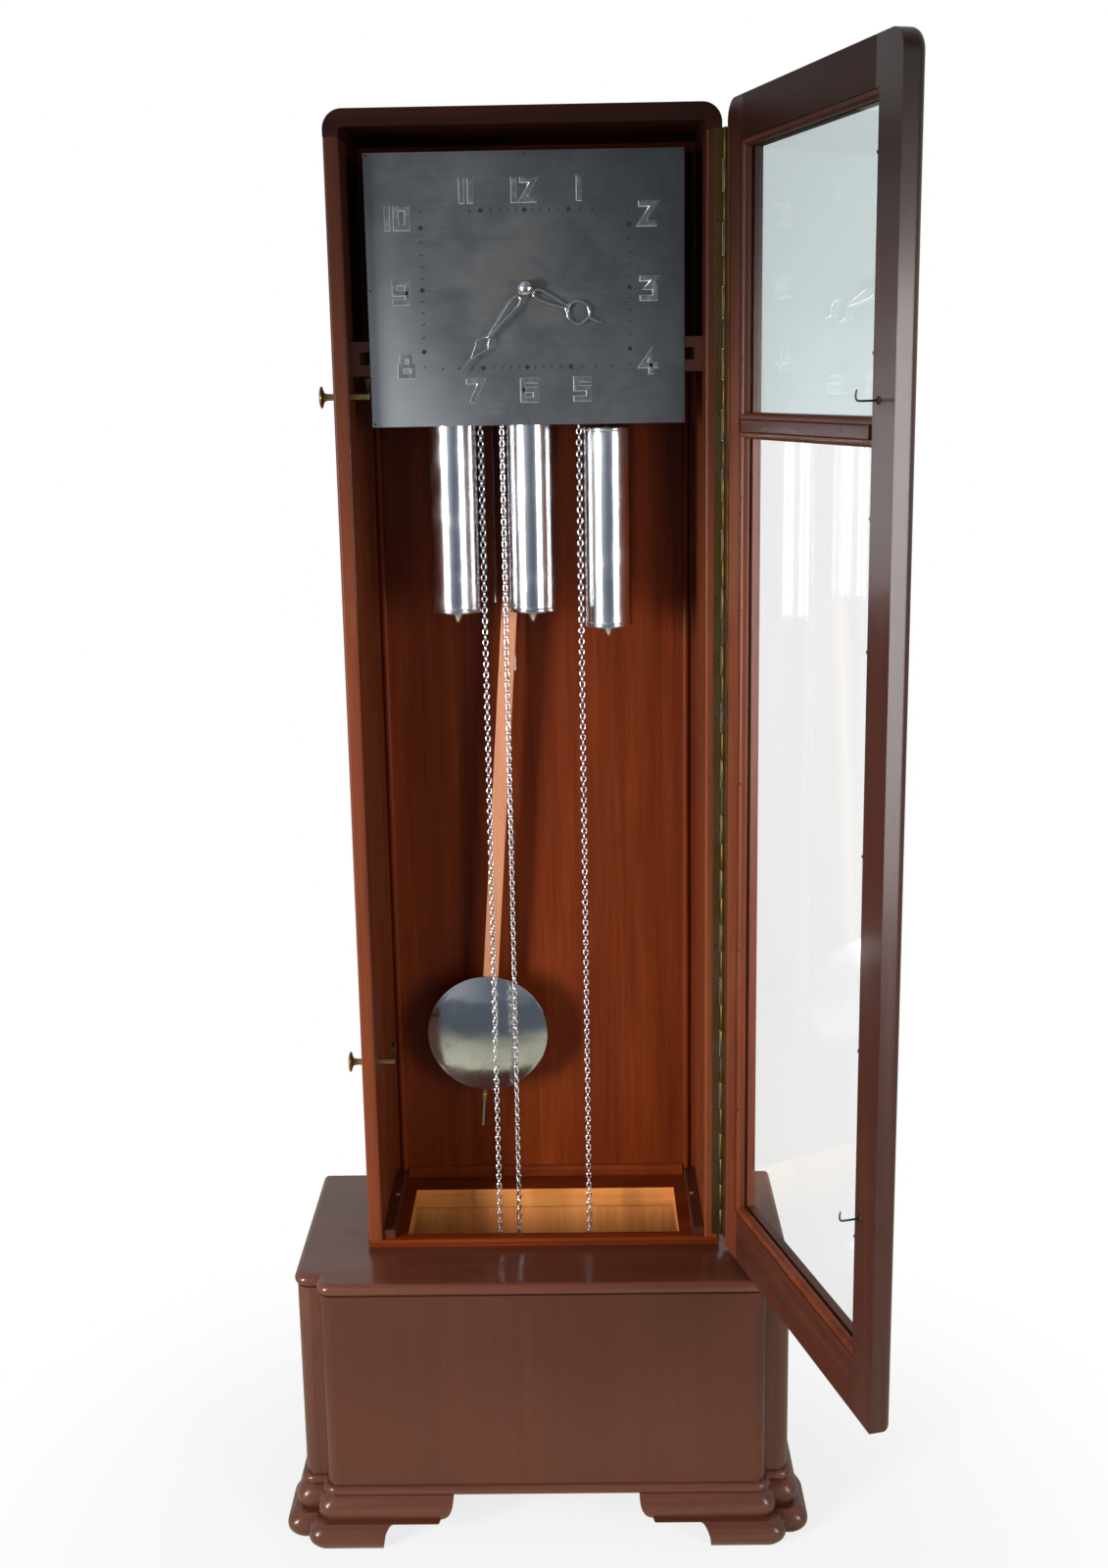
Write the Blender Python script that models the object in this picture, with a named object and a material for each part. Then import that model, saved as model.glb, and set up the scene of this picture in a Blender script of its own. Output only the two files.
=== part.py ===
"""Art deco longcase chime clock as separate pieces. Metres, +Z up, the front looks towards -Y.

Pieces are laid out round the trunk: x = 0 is its middle, y = 0 its front edge and z = 0 the floor.
At the end everything is shifted so that the origin is the middle of the bounding box at floor level.
"""
import math

import bmesh
import bpy
from mathutils import Vector

# Clearances
FIT = 0.0003  # between pieces that rest on or against one another
RUN = 0.0005  # round a shaft that turns in a hole
OVERCUT = 0.01  # how far cutters reach past what they cut

# Base
BASE_FRONT_WIDTH = 0.596
CORNER_BAR = 0.0328  # how far the side bars stand out past the front panel
BASE_FRONT_REACH = 0.102  # front panel ahead of the trunk
CORNER_STEP = 0.0274  # side bars behind the front panel
BASE_CORNER_RADIUS = 0.018
BASE_SIDE_THICK = 0.045
BASE_BACK_THICK = 0.010
PANEL_HEIGHT = 0.275
TOP_BOARD_THICK = 0.022
TOP_BOARD_LIP = 0.003
TOP_BOARD_ROUND = 0.008
BEAD_HEIGHT = 0.014
BEAD_LIP = 0.006
BEAD_ROUND = 0.005

# Feet, two tiers each
UPPER_FOOT_HEIGHT = 0.035
LOWER_FOOT_HEIGHT = 0.034
UPPER_FOOT_LIP = 0.013
LOWER_FOOT_LIP = 0.026
FOOT_BULGE = 0.010
FOOT_DEPTH = 0.055
UPPER_FOOT_LENGTH = 0.172  # along the front, from the front panel's edge
LOWER_FOOT_LENGTH = 0.090
UPPER_FOOT_SIDE = 0.150
LOWER_FOOT_SIDE = 0.095
FOOT_END_ROUND = 0.022
FOOT_END_COVE = 0.014

# Trunk
TRUNK_WIDTH = 0.480
TRUNK_DEPTH = 0.2354
TRUNK_HEIGHT = 1.484
TRUNK_CORNER = 0.024
WALL = 0.019
EDGE_ROUND = 0.003
TOP_THICK = 0.021
TOP_LEG = 0.032  # how far down the top's rounded ends reach
TOP_INNER_ROUND = 0.006
BACK_THICK = 0.008
BACK_RECESS = 0.022
FLOOR_THICK = 0.012
WELL_WIDTH = 0.376  # cut-out through the trunk floor and the base top
WELL_FRONT = 0.018
WELL_DEPTH = 0.141
SILL_REBATE = 0.0045  # shadow groove under the front edge of the trunk floor

# Door
DOOR_OPEN = math.radians(105.27)
DOOR_THICK = 0.026
DOOR_LIFT = 0.006  # bottom edge above the base
DOOR_EDGE_ROUND = 0.010
HINGE_STILE = 0.051
LOCK_STILE = 0.061
TOP_RAIL = 0.058
BOTTOM_RAIL = 0.076
REBATE = 0.008
REBATE_LIP = 0.010  # wood left in front of the glass
GLASS_THICK = 0.004
BAR_HEIGHT = 0.0155
BAR_DEPTH = 0.020
BAR_DROP = 0.387  # bar's underside below the trunk's top

# Piano hinge
LEAF_THICK = 0.001
LEAF_WIDTH = 0.017
KNUCKLE_RADIUS = 0.0028
PIN_RADIUS = 0.0012
KNUCKLES = 27
HINGE_BOTTOM_GAP = 0.012  # above the door's bottom edge
HINGE_TOP_GAP = 0.030  # below the door's top edge
KNUCKLE_CLEARANCE = 0.0007

# Turn latches and door hooks
UPPER_LATCH_DROP = 0.0246  # below the seat brackets
LOWER_LATCH_RISE = 0.260  # above the base
LATCH_DEPTH = 0.035  # behind the trunk's front edge
KNOB_RADIUS = 0.0138
KNOB_THICK = 0.0055
KNOB_STAND = 0.022  # from the case to the knob's outer face
SPINDLE_RADIUS = 0.0043
CLAW_INSET = 0.020  # from the wall's inner face to the middle of the claw
CLAW_THICK = 0.004
CLAW_LENGTH = 0.022
CLAW_WIDTH = 0.006
HOOK_WIRE = 0.003
HOOK_REACH = 0.0245
HOOK_RISE = 0.011
HOOK_PLATE = 0.0015
HOOK_PLATE_WIDTH = 0.012
HOOK_PLATE_HEIGHT = 0.024

# Dial and hands
ARBOR_DROP = 0.2099  # below the trunk's top
DIAL_WIDTH = 0.3946
DIAL_HEIGHT = 0.330
DIAL_BELOW = 0.1664  # from the arbor down to the dial's lower edge
DIAL_THICK = 0.0012
DIAL_STANDOFF = 0.0305  # dial's face ahead of the movement's front plate
DIAL_HOLE = 0.0065
DIAL_POST_RADIUS = 0.0025
DIAL_POST_SPREAD = 0.085
DIAL_POST_LOW = 0.050
DIAL_POST_HIGH = 0.062
HAND_THICK = 0.0012
MINUTE_ANGLE = math.radians(219.6)
HOUR_ANGLE = math.radians(114.6)
HAND_SPACE = 0.0045  # hour hand ahead of the dial, minute hand ahead of the hour hand
HAND_BAND = 0.0024
HAND_NECK = 0.0036
HAND_POINT = 0.0012
MINUTE_HUB = 0.0075
MINUTE_LENGTH = 0.1338
MINUTE_LOOP_WIDTH = 0.011
MINUTE_LOOP_AT = 0.030  # widest place of the loop, from the arbor
MINUTE_NECK_AT = 0.076
MINUTE_BARB_AT = 0.087
MINUTE_BARB_WIDTH = 0.019
MINUTE_HEAD_END = 0.111
HOUR_HUB = 0.0095
HOUR_LENGTH = 0.1032
HOUR_LOOP_WIDTH = 0.0135
HOUR_LOOP_AT = 0.022
HOUR_RING_AT = 0.0714
HOUR_RING_RADIUS = 0.0150
HOUR_TIP_WIDTH = 0.0080
NUT_RADIUS = 0.0098
NUT_HEIGHT = 0.010

# Movement
PLATE_WIDTH = 0.232
PLATE_HEIGHT = 0.150
PLATE_THICK = 0.0025
PLATE_GAP = 0.044
MOVEMENT_STANDOFF = 0.1054  # middle of the movement, chains and weights ahead of the back panel
SEAT_DROP = 0.0745  # seat's upper face below the arbor
SEAT_THICK = 0.0145
SEAT_DEPTH = 0.090
SEAT_SLOT_WIDTH = 0.270
SEAT_SLOT_DEPTH = 0.034
BRACKET_WIDTH = 0.0228
BRACKET_NOTCH = 0.0115
BRACKET_LEDGE = 0.0145  # below the seat
BRACKET_LID = 0.0135  # above the seat
BRACKET_DEPTH = 0.120
PILLAR_RADIUS = 0.0035
PILLAR_X = 0.110
PILLAR_EDGE = 0.010
PIVOT_RADIUS = 0.0015
ARBOR_RADIUS = 0.0025
CENTRE_WHEEL_RADIUS = 0.015
WHEEL_THICK = 0.002
ESCAPE_RISE = 0.018  # above the centre arbor
ESCAPE_RADIUS = 0.0105
ESCAPE_TEETH = 15
ANCHOR_THICK = 0.003
ANCHOR_REACH = 0.013
ANCHOR_DROP = 0.0145
CRUTCH_DROP = 0.100
CRUTCH_WIDTH = 0.004
GEAR_DISTANCE = 0.024
GEAR_BEARING = math.radians(-45.0)  # direction from the arbor to the minute wheel, seen from the front
GEAR_THICK = 0.003
CANNON_TEETH = 12
MINUTE_TEETH = 36
PINION_TEETH = 10
HOUR_TEETH = 40
STUD_RADIUS = 0.002
HOUR_PIPE_RADIUS = 0.0045

# Chain wheels, chains and weights
SPROCKET_RADIUS = 0.018  # chain's middle line
SPROCKET_DROP = 0.042  # sprockets below the centre arbor
CHAIN_RADIUS = 0.0027
FLANGE_RADIUS = 0.0207
FLANGE_THICK = 0.0015
GREAT_WHEEL_RADIUS = 0.0235
CHAIN_END = 0.115  # lower end of the free runs
WEIGHT_RADIUS = 0.0305
WEIGHT_LENGTH = 0.2587
WEIGHT_RIM = 0.001
WEIGHT_RIM_HEIGHT = 0.005
WEIGHT_TIP = 0.016
WEIGHT_EYE = 0.022
WEIGHT_SPREAD = 0.100
LEFT_WEIGHT_DROP = 0.0608  # below the seat
CENTRE_WEIGHT_DROP = 0.0608
RIGHT_WEIGHT_DROP = 0.0820

# Pendulum
PENDULUM_BEHIND = 0.060  # pendulum behind the middle of the movement
PIVOT_RISE = 0.046  # suspension above the centre arbor
PENDULUM_LEAN = math.radians(4.16)
SPRING_PIN_RADIUS = 0.002
SPRING_PIN_LENGTH = 0.021
SPRING_WIDTH = 0.008
SPRING_THICK = 0.0008
SPRING_LENGTH = 0.030
CHOP_HEIGHT = 0.014
CHOP_WIDTH = 0.014
ROD_WIDTH = 0.0215
ROD_THICK = 0.009
ROD_LENGTH = 1.105
BOB_RADIUS = 0.0855
BOB_THICK = 0.018
BOB_RIM = 0.004
BOB_DROP = 1.0684  # pivot to the bob's middle
STUD_THREAD_RADIUS = 0.0022
STUD_END = 1.2125  # pivot to the threaded stud's lower end
RATING_RADIUS = 0.0046
BOSS_WIDTH = 0.012  # lug behind the bob's lower edge, which rests on the rating nut
BOSS_HEIGHT = 0.012
RATING_HEIGHT = 0.021
COCK_ARM_X = 0.015
COCK_ARM_WIDTH = 0.004
COCK_ARM_HEIGHT = 0.008
SADDLE_THICK = 0.004
SADDLE_SPACING = 0.016
SADDLE_HEIGHT = 0.010

# Chime rods and hammers
CHIME_STANDOFF = 0.0194  # rods ahead of the back panel
CHIME_FIRST_X = -0.0290
CHIME_SPACING = 0.012
CHIME_ROD_RADIUS = 0.002
CHIME_BLOCK_RISE = 0.0809  # above the centre arbor
CHIME_BLOCK_HEIGHT = 0.030
CHIME_BLOCK_WIDTH = 0.066
CHIME_BLOCK_DEPTH = 0.028
CHIME_LENGTHS = (0.5825, 0.5290, 0.4880, 0.4480)
HAMMER_BEHIND = 0.036  # hammer shaft behind the middle of the movement
HAMMER_SHAFT_RISE = 0.0009  # above the centre arbor
HAMMER_GAP = 0.0035  # resting hammer to its rod
HAMMER_SHAFT_RADIUS = 0.002
HAMMER_HUB_RADIUS = 0.0048
HAMMER_HUB_WIDTH = 0.007
HAMMER_RISE = 0.030
HAMMER_HEAD_RADIUS = 0.005
HAMMER_HEAD_LENGTH = 0.012
HAMMER_ARM = 0.004
HAMMER_LUG = 0.004

# Mesh fineness
ARC_STEPS = 4
ROUND_STEPS = 20
SMALL_STEPS = 12

# colour, roughness, metallic, alpha
FINISHES = {
    "mahogany": ((0.16, 0.055, 0.03), 0.35, 0.0, 1.0),
    "raw_wood": ((0.42, 0.22, 0.10), 0.6, 0.0, 1.0),
    "glass": ((0.9, 0.95, 0.95), 0.05, 0.0, 0.25),
    "brass": ((0.55, 0.40, 0.18), 0.35, 1.0, 1.0),
    "steel": ((0.45, 0.45, 0.46), 0.35, 1.0, 1.0),
    "chrome": ((0.80, 0.80, 0.82), 0.10, 1.0, 1.0),
    "dial_metal": ((0.34, 0.36, 0.38), 0.40, 0.8, 1.0),
}

# Heights and planes that follow from the sizes above
BASE_WIDTH = BASE_FRONT_WIDTH + 2 * CORNER_BAR
FEET_TOP = LOWER_FOOT_HEIGHT + UPPER_FOOT_HEIGHT
PANEL_BOTTOM = FEET_TOP + BEAD_HEIGHT
PANEL_TOP = PANEL_BOTTOM + PANEL_HEIGHT
BASE_TOP = PANEL_TOP + TOP_BOARD_THICK
FLOOR_TOP = BASE_TOP + FLOOR_THICK
TRUNK_TOP = BASE_TOP + TRUNK_HEIGHT
TRUNK_HALF = TRUNK_WIDTH / 2
INNER_HALF = TRUNK_HALF - WALL
BACK_FRONT = TRUNK_DEPTH - BACK_RECESS - BACK_THICK
CHAIN_PLANE = BACK_FRONT - MOVEMENT_STANDOFF
PENDULUM_PLANE = CHAIN_PLANE + PENDULUM_BEHIND
HAMMER_PLANE = CHAIN_PLANE + HAMMER_BEHIND
CHIME_PLANE = BACK_FRONT - CHIME_STANDOFF
HAMMER_REACH = CHIME_PLANE - CHIME_ROD_RADIUS - HAMMER_GAP - HAMMER_HEAD_LENGTH / 2 - HAMMER_PLANE
SIDE_TOP = TRUNK_TOP - TOP_LEG
DOOR_GAP = 2 * LEAF_THICK + 4 * FIT  # between trunk and closed door, with the hinge leaves in it
PIN_X = TRUNK_HALF + KNUCKLE_RADIUS + KNUCKLE_CLEARANCE
PIN_Y = -DOOR_GAP / 2
ARBOR_Z = TRUNK_TOP - ARBOR_DROP
SEAT_TOP = ARBOR_Z - SEAT_DROP
SEAT_BOTTOM = SEAT_TOP - SEAT_THICK
UPPER_LATCH_Z = SEAT_BOTTOM - BRACKET_LEDGE - UPPER_LATCH_DROP
LOWER_LATCH_Z = BASE_TOP + LOWER_LATCH_RISE
PLATE_BOTTOM = SEAT_TOP + FIT
PLATE_TOP = PLATE_BOTTOM + PLATE_HEIGHT
FRONT_PLATE_BACK = CHAIN_PLANE - PLATE_GAP / 2
FRONT_PLATE_FRONT = FRONT_PLATE_BACK - PLATE_THICK
BACK_PLATE_FRONT = CHAIN_PLANE + PLATE_GAP / 2
BACK_PLATE_BACK = BACK_PLATE_FRONT + PLATE_THICK
DIAL_DEPTH = FRONT_PLATE_FRONT - DIAL_STANDOFF
PIVOT_Z = ARBOR_Z + PIVOT_RISE
ESCAPE_Z = ARBOR_Z + ESCAPE_RISE
SPROCKET_Z = ARBOR_Z - SPROCKET_DROP
HAMMER_Z = ARBOR_Z + HAMMER_SHAFT_RISE
CHIME_BLOCK_BOTTOM = ARBOR_Z + CHIME_BLOCK_RISE
HOUR_HAND_BACK = DIAL_DEPTH - HAND_SPACE
MINUTE_HAND_BACK = HOUR_HAND_BACK - HAND_THICK - HAND_SPACE
NUT_BACK = MINUTE_HAND_BACK - HAND_THICK - FIT
# middle of each weight, its upper end's height, and the side on which its free run hangs
WEIGHTS = {
    "left": (-WEIGHT_SPREAD, SEAT_BOTTOM - LEFT_WEIGHT_DROP, 1),
    "centre": (0.0, SEAT_BOTTOM - CENTRE_WEIGHT_DROP, -1),
    "right": (WEIGHT_SPREAD, SEAT_BOTTOM - RIGHT_WEIGHT_DROP, -1),
}

for old in list(bpy.data.objects):
    bpy.data.objects.remove(old)


def axis_frame(name, place, turn=(0.0, 0.0, 0.0), parent=None):
    frame = bpy.data.objects.new(name, None)
    frame.location = place
    frame.rotation_euler = turn
    frame.parent = parent
    bpy.context.scene.collection.objects.link(frame)
    return frame


CLOCK = axis_frame("clock_origin", (0.0, 0.0, 0.0))


def solid(name, shape, parent):
    bmesh.ops.recalc_face_normals(shape, faces=shape.faces)
    mesh = bpy.data.meshes.new(name)
    shape.to_mesh(mesh)
    shape.free()
    made = bpy.data.objects.new(name, mesh)
    made.parent = parent
    bpy.context.scene.collection.objects.link(made)
    return made


def piece(name, shape, finish, parent=CLOCK, smooth=False):
    made = solid(name, shape, parent)
    colour, roughness, metallic, alpha = FINISHES[finish]
    material = bpy.data.materials.new(name + "_" + finish)
    material.use_nodes = True
    shader = material.node_tree.nodes["Principled BSDF"]
    shader.inputs["Base Color"].default_value = (*colour, 1.0)
    shader.inputs["Roughness"].default_value = roughness
    shader.inputs["Metallic"].default_value = metallic
    shader.inputs["Alpha"].default_value = alpha
    made.data.materials.append(material)
    if smooth:
        for face in made.data.polygons:
            face.use_smooth = True
    return made


def combine(target, shape, operation):
    helper = shape
    if isinstance(shape, bmesh.types.BMesh):
        helper = solid("guide_" + target.name, shape, target.parent)
    helper.hide_render = True
    helper.display_type = "WIRE"
    step = target.modifiers.new(operation.lower(), "BOOLEAN")
    step.operation = operation
    step.solver = "EXACT"
    step.object = helper
    return target


def add(target, *shapes):
    for shape in shapes:
        combine(target, shape, "UNION")
    return target


def cut(target, *shapes):
    for shape in shapes:
        combine(target, shape, "DIFFERENCE")
    return target


def keep(target, shape):
    return combine(target, shape, "INTERSECT")


def rounded(corners):
    """Outline through square corners given as x, y and radius."""
    points = []
    for i, (x, y, radius) in enumerate(corners):
        here = Vector((x, y))
        if radius == 0.0:
            points.append(here)
            continue
        back = (Vector(corners[i - 1][:2]) - here).normalized()
        ahead = (Vector(corners[(i + 1) % len(corners)][:2]) - here).normalized()
        middle = here + (back + ahead) * radius
        for k in range(ARC_STEPS + 1):
            angle = math.pi / 2 * k / ARC_STEPS
            points.append(middle - ahead * radius * math.cos(angle) - back * radius * math.sin(angle))
    return points


def place(axis, across, along):
    """Point from two coordinates in a plane and one along the plane's axis."""
    u, v = across
    if axis == "x":
        return (along, u, v)
    if axis == "y":
        return (u, along, v)
    return (u, v, along)


def loft(rings, axis):
    """Closed body through outlines of equal length, each given with its place along the axis."""
    shape = bmesh.new()
    made = [[shape.verts.new(place(axis, p, along)) for p in outline] for outline, along in rings]
    for low, high in zip(made, made[1:]):
        for i in range(len(low)):
            j = (i + 1) % len(low)
            shape.faces.new((low[i], low[j], high[j], high[i]))
    shape.faces.new(made[0])
    shape.faces.new(made[-1])
    return shape


def prism(outline, axis, low, high):
    return loft([(outline, low), (outline, high)], axis)


def block(x, y, z):
    outline = [(x[0], y[0]), (x[1], y[0]), (x[1], y[1]), (x[0], y[1])]
    return prism(outline, "z", z[0], z[1])


def circle(radius, middle=(0.0, 0.0), steps=ROUND_STEPS):
    angles = [2 * math.pi * k / steps for k in range(steps)]
    return [(middle[0] + radius * math.cos(a), middle[1] + radius * math.sin(a)) for a in angles]


def turned(profile, axis, middle, steps=ROUND_STEPS):
    """Body of revolution from radius and place pairs; a zero radius ends in a point."""
    shape = bmesh.new()
    rows = []
    for radius, along in profile:
        if radius == 0.0:
            rows.append([shape.verts.new(place(axis, middle, along))])
        else:
            rows.append([shape.verts.new(place(axis, p, along)) for p in circle(radius, middle, steps)])
    for low, high in zip(rows, rows[1:]):
        for i in range(steps):
            j = (i + 1) % steps
            if len(low) == 1:
                shape.faces.new((low[0], high[j], high[i]))
            elif len(high) == 1:
                shape.faces.new((low[i], low[j], high[0]))
            else:
                shape.faces.new((low[i], low[j], high[j], high[i]))
    for row in (rows[0], rows[-1]):
        if len(row) > 1:
            shape.faces.new(row)
    return shape


def shaft(radius, axis, middle, low, high, steps=SMALL_STEPS):
    return turned([(radius, low), (radius, high)], axis, middle, steps)


def tube(path, radius, y, steps=8):
    """Round bar along x, z points in one upright plane."""
    shape = bmesh.new()
    rows = []
    for i, here in enumerate(path):
        before = path[max(i - 1, 0)]
        after = path[min(i + 1, len(path) - 1)]
        run = Vector((after[0] - before[0], after[1] - before[1])).normalized()
        side = Vector((-run.y, run.x))
        row = []
        for k in range(steps):
            angle = 2 * math.pi * k / steps
            across = radius * math.cos(angle)
            row.append(shape.verts.new((here[0] + side.x * across, y + radius * math.sin(angle),
                                        here[1] + side.y * across)))
        rows.append(row)
    for low, high in zip(rows, rows[1:]):
        for i in range(steps):
            j = (i + 1) % steps
            shape.faces.new((low[i], low[j], high[j], high[i]))
    shape.faces.new(rows[0])
    shape.faces.new(rows[-1])
    return shape


def gear(teeth, pitch_radius, phase, middle=(0.0, 0.0)):
    """Toothed outline with thin straight-sided teeth; phase is the direction of the first tooth."""
    module = 2 * pitch_radius / teeth
    root = pitch_radius - 1.2 * module
    tip = pitch_radius + 0.8 * module
    step = 2 * math.pi / teeth
    points = []
    for k in range(teeth):
        for radius, share in ((root, -0.24), (tip, -0.10), (tip, 0.10), (root, 0.24)):
            angle = phase + (k + share) * step
            points.append((middle[0] + radius * math.cos(angle), middle[1] + radius * math.sin(angle)))
    return points


def base_plan(grow):
    side = BASE_WIDTH / 2 + grow
    front = BASE_FRONT_WIDTH / 2 + grow
    front_y = -BASE_FRONT_REACH - grow
    step_y = CORNER_STEP - BASE_FRONT_REACH - grow
    return rounded([
        (-side, TRUNK_DEPTH, 0.0),
        (-side, step_y, BASE_CORNER_RADIUS),
        (-front, step_y, 0.0),
        (-front, front_y, BASE_CORNER_RADIUS),
        (front, front_y, BASE_CORNER_RADIUS),
        (front, step_y, 0.0),
        (side, step_y, BASE_CORNER_RADIUS),
        (side, TRUNK_DEPTH, 0.0),
    ])


def moulding(levels):
    return loft([(base_plan(grow), z) for z, grow in levels], "z")


def mirrored(points, sign):
    return [(sign * u, v) for u, v in points]


def foot_profile(outer, upper_end, lower_end):
    """Side view of a stepped foot that runs from outer towards larger values; the upper tier's end is
    rounded outwards and the lower tier's end is hollowed."""
    points = [(outer, -OVERCUT), (lower_end - FOOT_END_COVE, -OVERCUT)]
    quarter = [math.pi / 2 * k / ARC_STEPS for k in range(ARC_STEPS + 1)]
    ledge = LOWER_FOOT_HEIGHT - FIT  # just under the blank's own ledge, so that no faces coincide
    for a in quarter:
        points.append((lower_end - FOOT_END_COVE * math.cos(a), ledge * math.sin(a)))
    for a in quarter:
        height = FEET_TOP - (FEET_TOP - ledge) * math.cos(a)
        points.append((upper_end - FOOT_END_ROUND * (1 - math.sin(a)), height))
    points.append((upper_end, FEET_TOP + OVERCUT))
    points.append((outer, FEET_TOP + OVERCUT))
    return points


def foot_blank():
    lower = LOWER_FOOT_LIP
    upper = UPPER_FOOT_LIP
    return moulding([
        (0.0, lower - FOOT_BULGE * 0.7),
        (LOWER_FOOT_HEIGHT * 0.2, lower - FOOT_BULGE * 0.2),
        (LOWER_FOOT_HEIGHT * 0.5, lower),
        (LOWER_FOOT_HEIGHT * 0.8, lower - FOOT_BULGE * 0.25),
        (LOWER_FOOT_HEIGHT, lower - FOOT_BULGE),
        (LOWER_FOOT_HEIGHT + FIT, upper - FOOT_BULGE * 0.6),
        (LOWER_FOOT_HEIGHT + UPPER_FOOT_HEIGHT * 0.35, upper),
        (LOWER_FOOT_HEIGHT + UPPER_FOOT_HEIGHT * 0.75, upper - FOOT_BULGE * 0.2),
        (FEET_TOP, upper - FOOT_BULGE),
    ])


def build_base():
    half = BASE_WIDTH / 2
    front_y = -BASE_FRONT_REACH
    step_y = CORNER_STEP - BASE_FRONT_REACH
    front_half = BASE_FRONT_WIDTH / 2
    low = PANEL_BOTTOM + FIT
    outline = rounded([(-front_half, step_y - FIT, 0.0), (-front_half, front_y, BASE_CORNER_RADIUS),
                       (front_half, front_y, BASE_CORNER_RADIUS), (front_half, step_y - FIT, 0.0)])
    piece("base_front", prism(outline, "z", low, PANEL_TOP), "mahogany")
    for name, sign in (("base_left_side", -1), ("base_right_side", 1)):
        inner = half - BASE_SIDE_THICK
        outline = rounded([(half, TRUNK_DEPTH, EDGE_ROUND), (half, step_y, BASE_CORNER_RADIUS),
                           (inner, step_y, 0.0), (inner, TRUNK_DEPTH, 0.0)])
        piece(name, prism(mirrored(outline, sign), "z", low, PANEL_TOP), "mahogany")
    inner = half - BASE_SIDE_THICK - FIT
    depth = (TRUNK_DEPTH - BASE_BACK_THICK, TRUNK_DEPTH)
    piece("base_back", block((-inner, inner), depth, (low, PANEL_TOP)), "raw_wood")
    low = PANEL_TOP + FIT
    lip = TOP_BOARD_LIP
    nose = TOP_BOARD_ROUND
    soft = nose * (1 - math.sqrt(0.5))
    board = piece("base_top", moulding([
        (low, lip - nose), (low + soft, lip - soft), (low + nose, lip),
        (BASE_TOP - nose, lip), (BASE_TOP - soft, lip - soft), (BASE_TOP, lip - nose),
    ]), "mahogany")
    cut(board, well(low - OVERCUT, BASE_TOP + OVERCUT))
    low = FEET_TOP + FIT
    rise = BEAD_ROUND * 0.6
    piece("base_floor", moulding([
        (low, BEAD_LIP - BEAD_ROUND), (low + rise, BEAD_LIP),
        (PANEL_BOTTOM - rise, BEAD_LIP), (PANEL_BOTTOM, BEAD_LIP - BEAD_ROUND),
    ]), "mahogany")
    outer = half + LOWER_FOOT_LIP + OVERCUT
    inner = half - FOOT_DEPTH
    for name, sign in (("foot_front_left", -1), ("foot_front_right", 1)):
        along = foot_profile(-outer, UPPER_FOOT_LENGTH - front_half, LOWER_FOOT_LENGTH - front_half)
        front_y = -BASE_FRONT_REACH - LOWER_FOOT_LIP - OVERCUT
        back = foot_profile(front_y, UPPER_FOOT_SIDE - BASE_FRONT_REACH, LOWER_FOOT_SIDE - BASE_FRONT_REACH)
        foot = piece(name, foot_blank(), "mahogany")
        span = prism(mirrored(along, -sign), "y", front_y, FOOT_DEPTH - BASE_FRONT_REACH)
        region = solid("guide_" + name + "_span", span, CLOCK)
        add(region, prism(back, "x", sign * inner, sign * outer))
        keep(foot, region)
    for name, sign in (("foot_rear_left", -1), ("foot_rear_right", 1)):
        foot = piece(name, foot_blank(), "mahogany")
        rear = -TRUNK_DEPTH
        back = foot_profile(rear - OVERCUT, rear + UPPER_FOOT_SIDE, rear + LOWER_FOOT_SIDE)
        keep(foot, prism(mirrored(back, -1), "x", sign * inner, sign * outer))


def well(low, high):
    half = WELL_WIDTH / 2
    return block((-half, half), (WELL_FRONT, WELL_FRONT + WELL_DEPTH), (low, high))


def build_trunk():
    low = FLOOR_TOP + FIT
    for name, sign in (("trunk_left_side", -1), ("trunk_right_side", 1)):
        outline = rounded([(TRUNK_HALF, TRUNK_DEPTH, 0.0), (TRUNK_HALF, 0.0, EDGE_ROUND),
                           (INNER_HALF, 0.0, EDGE_ROUND), (INNER_HALF, TRUNK_DEPTH, 0.0)])
        side = piece(name, prism(mirrored(outline, sign), "z", low, SIDE_TOP - FIT), "mahogany")
        if sign < 0:
            for z in (UPPER_LATCH_Z, LOWER_LATCH_Z):
                ends = (-TRUNK_HALF - OVERCUT, -INNER_HALF + OVERCUT)
                cut(side, shaft(SPINDLE_RADIUS + RUN, "x", (LATCH_DEPTH, z), *ends))
    ceiling = TRUNK_TOP - TOP_THICK
    outline = rounded([
        (-TRUNK_HALF, SIDE_TOP, 0.0), (-INNER_HALF, SIDE_TOP, 0.0), (-INNER_HALF, ceiling, TOP_INNER_ROUND),
        (INNER_HALF, ceiling, TOP_INNER_ROUND), (INNER_HALF, SIDE_TOP, 0.0), (TRUNK_HALF, SIDE_TOP, 0.0),
        (TRUNK_HALF, TRUNK_TOP, TRUNK_CORNER), (-TRUNK_HALF, TRUNK_TOP, TRUNK_CORNER),
    ])
    piece("trunk_top", prism(outline, "y", 0.0, TRUNK_DEPTH), "mahogany")
    half = INNER_HALF - FIT
    depth = (BACK_FRONT, BACK_FRONT + BACK_THICK)
    piece("trunk_back", block((-half, half), depth, (low, SIDE_TOP - FIT)), "mahogany")
    board = block((-TRUNK_HALF, TRUNK_HALF), (0.0, TRUNK_DEPTH), (BASE_TOP + FIT, FLOOR_TOP))
    floor = piece("trunk_floor", board, "mahogany")
    cut(floor, well(BASE_TOP - OVERCUT, FLOOR_TOP + OVERCUT))
    reach = TRUNK_HALF + OVERCUT
    cut(floor, block((-reach, reach), (-OVERCUT, SILL_REBATE), (BASE_TOP - OVERCUT, BASE_TOP + SILL_REBATE)))


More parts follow.
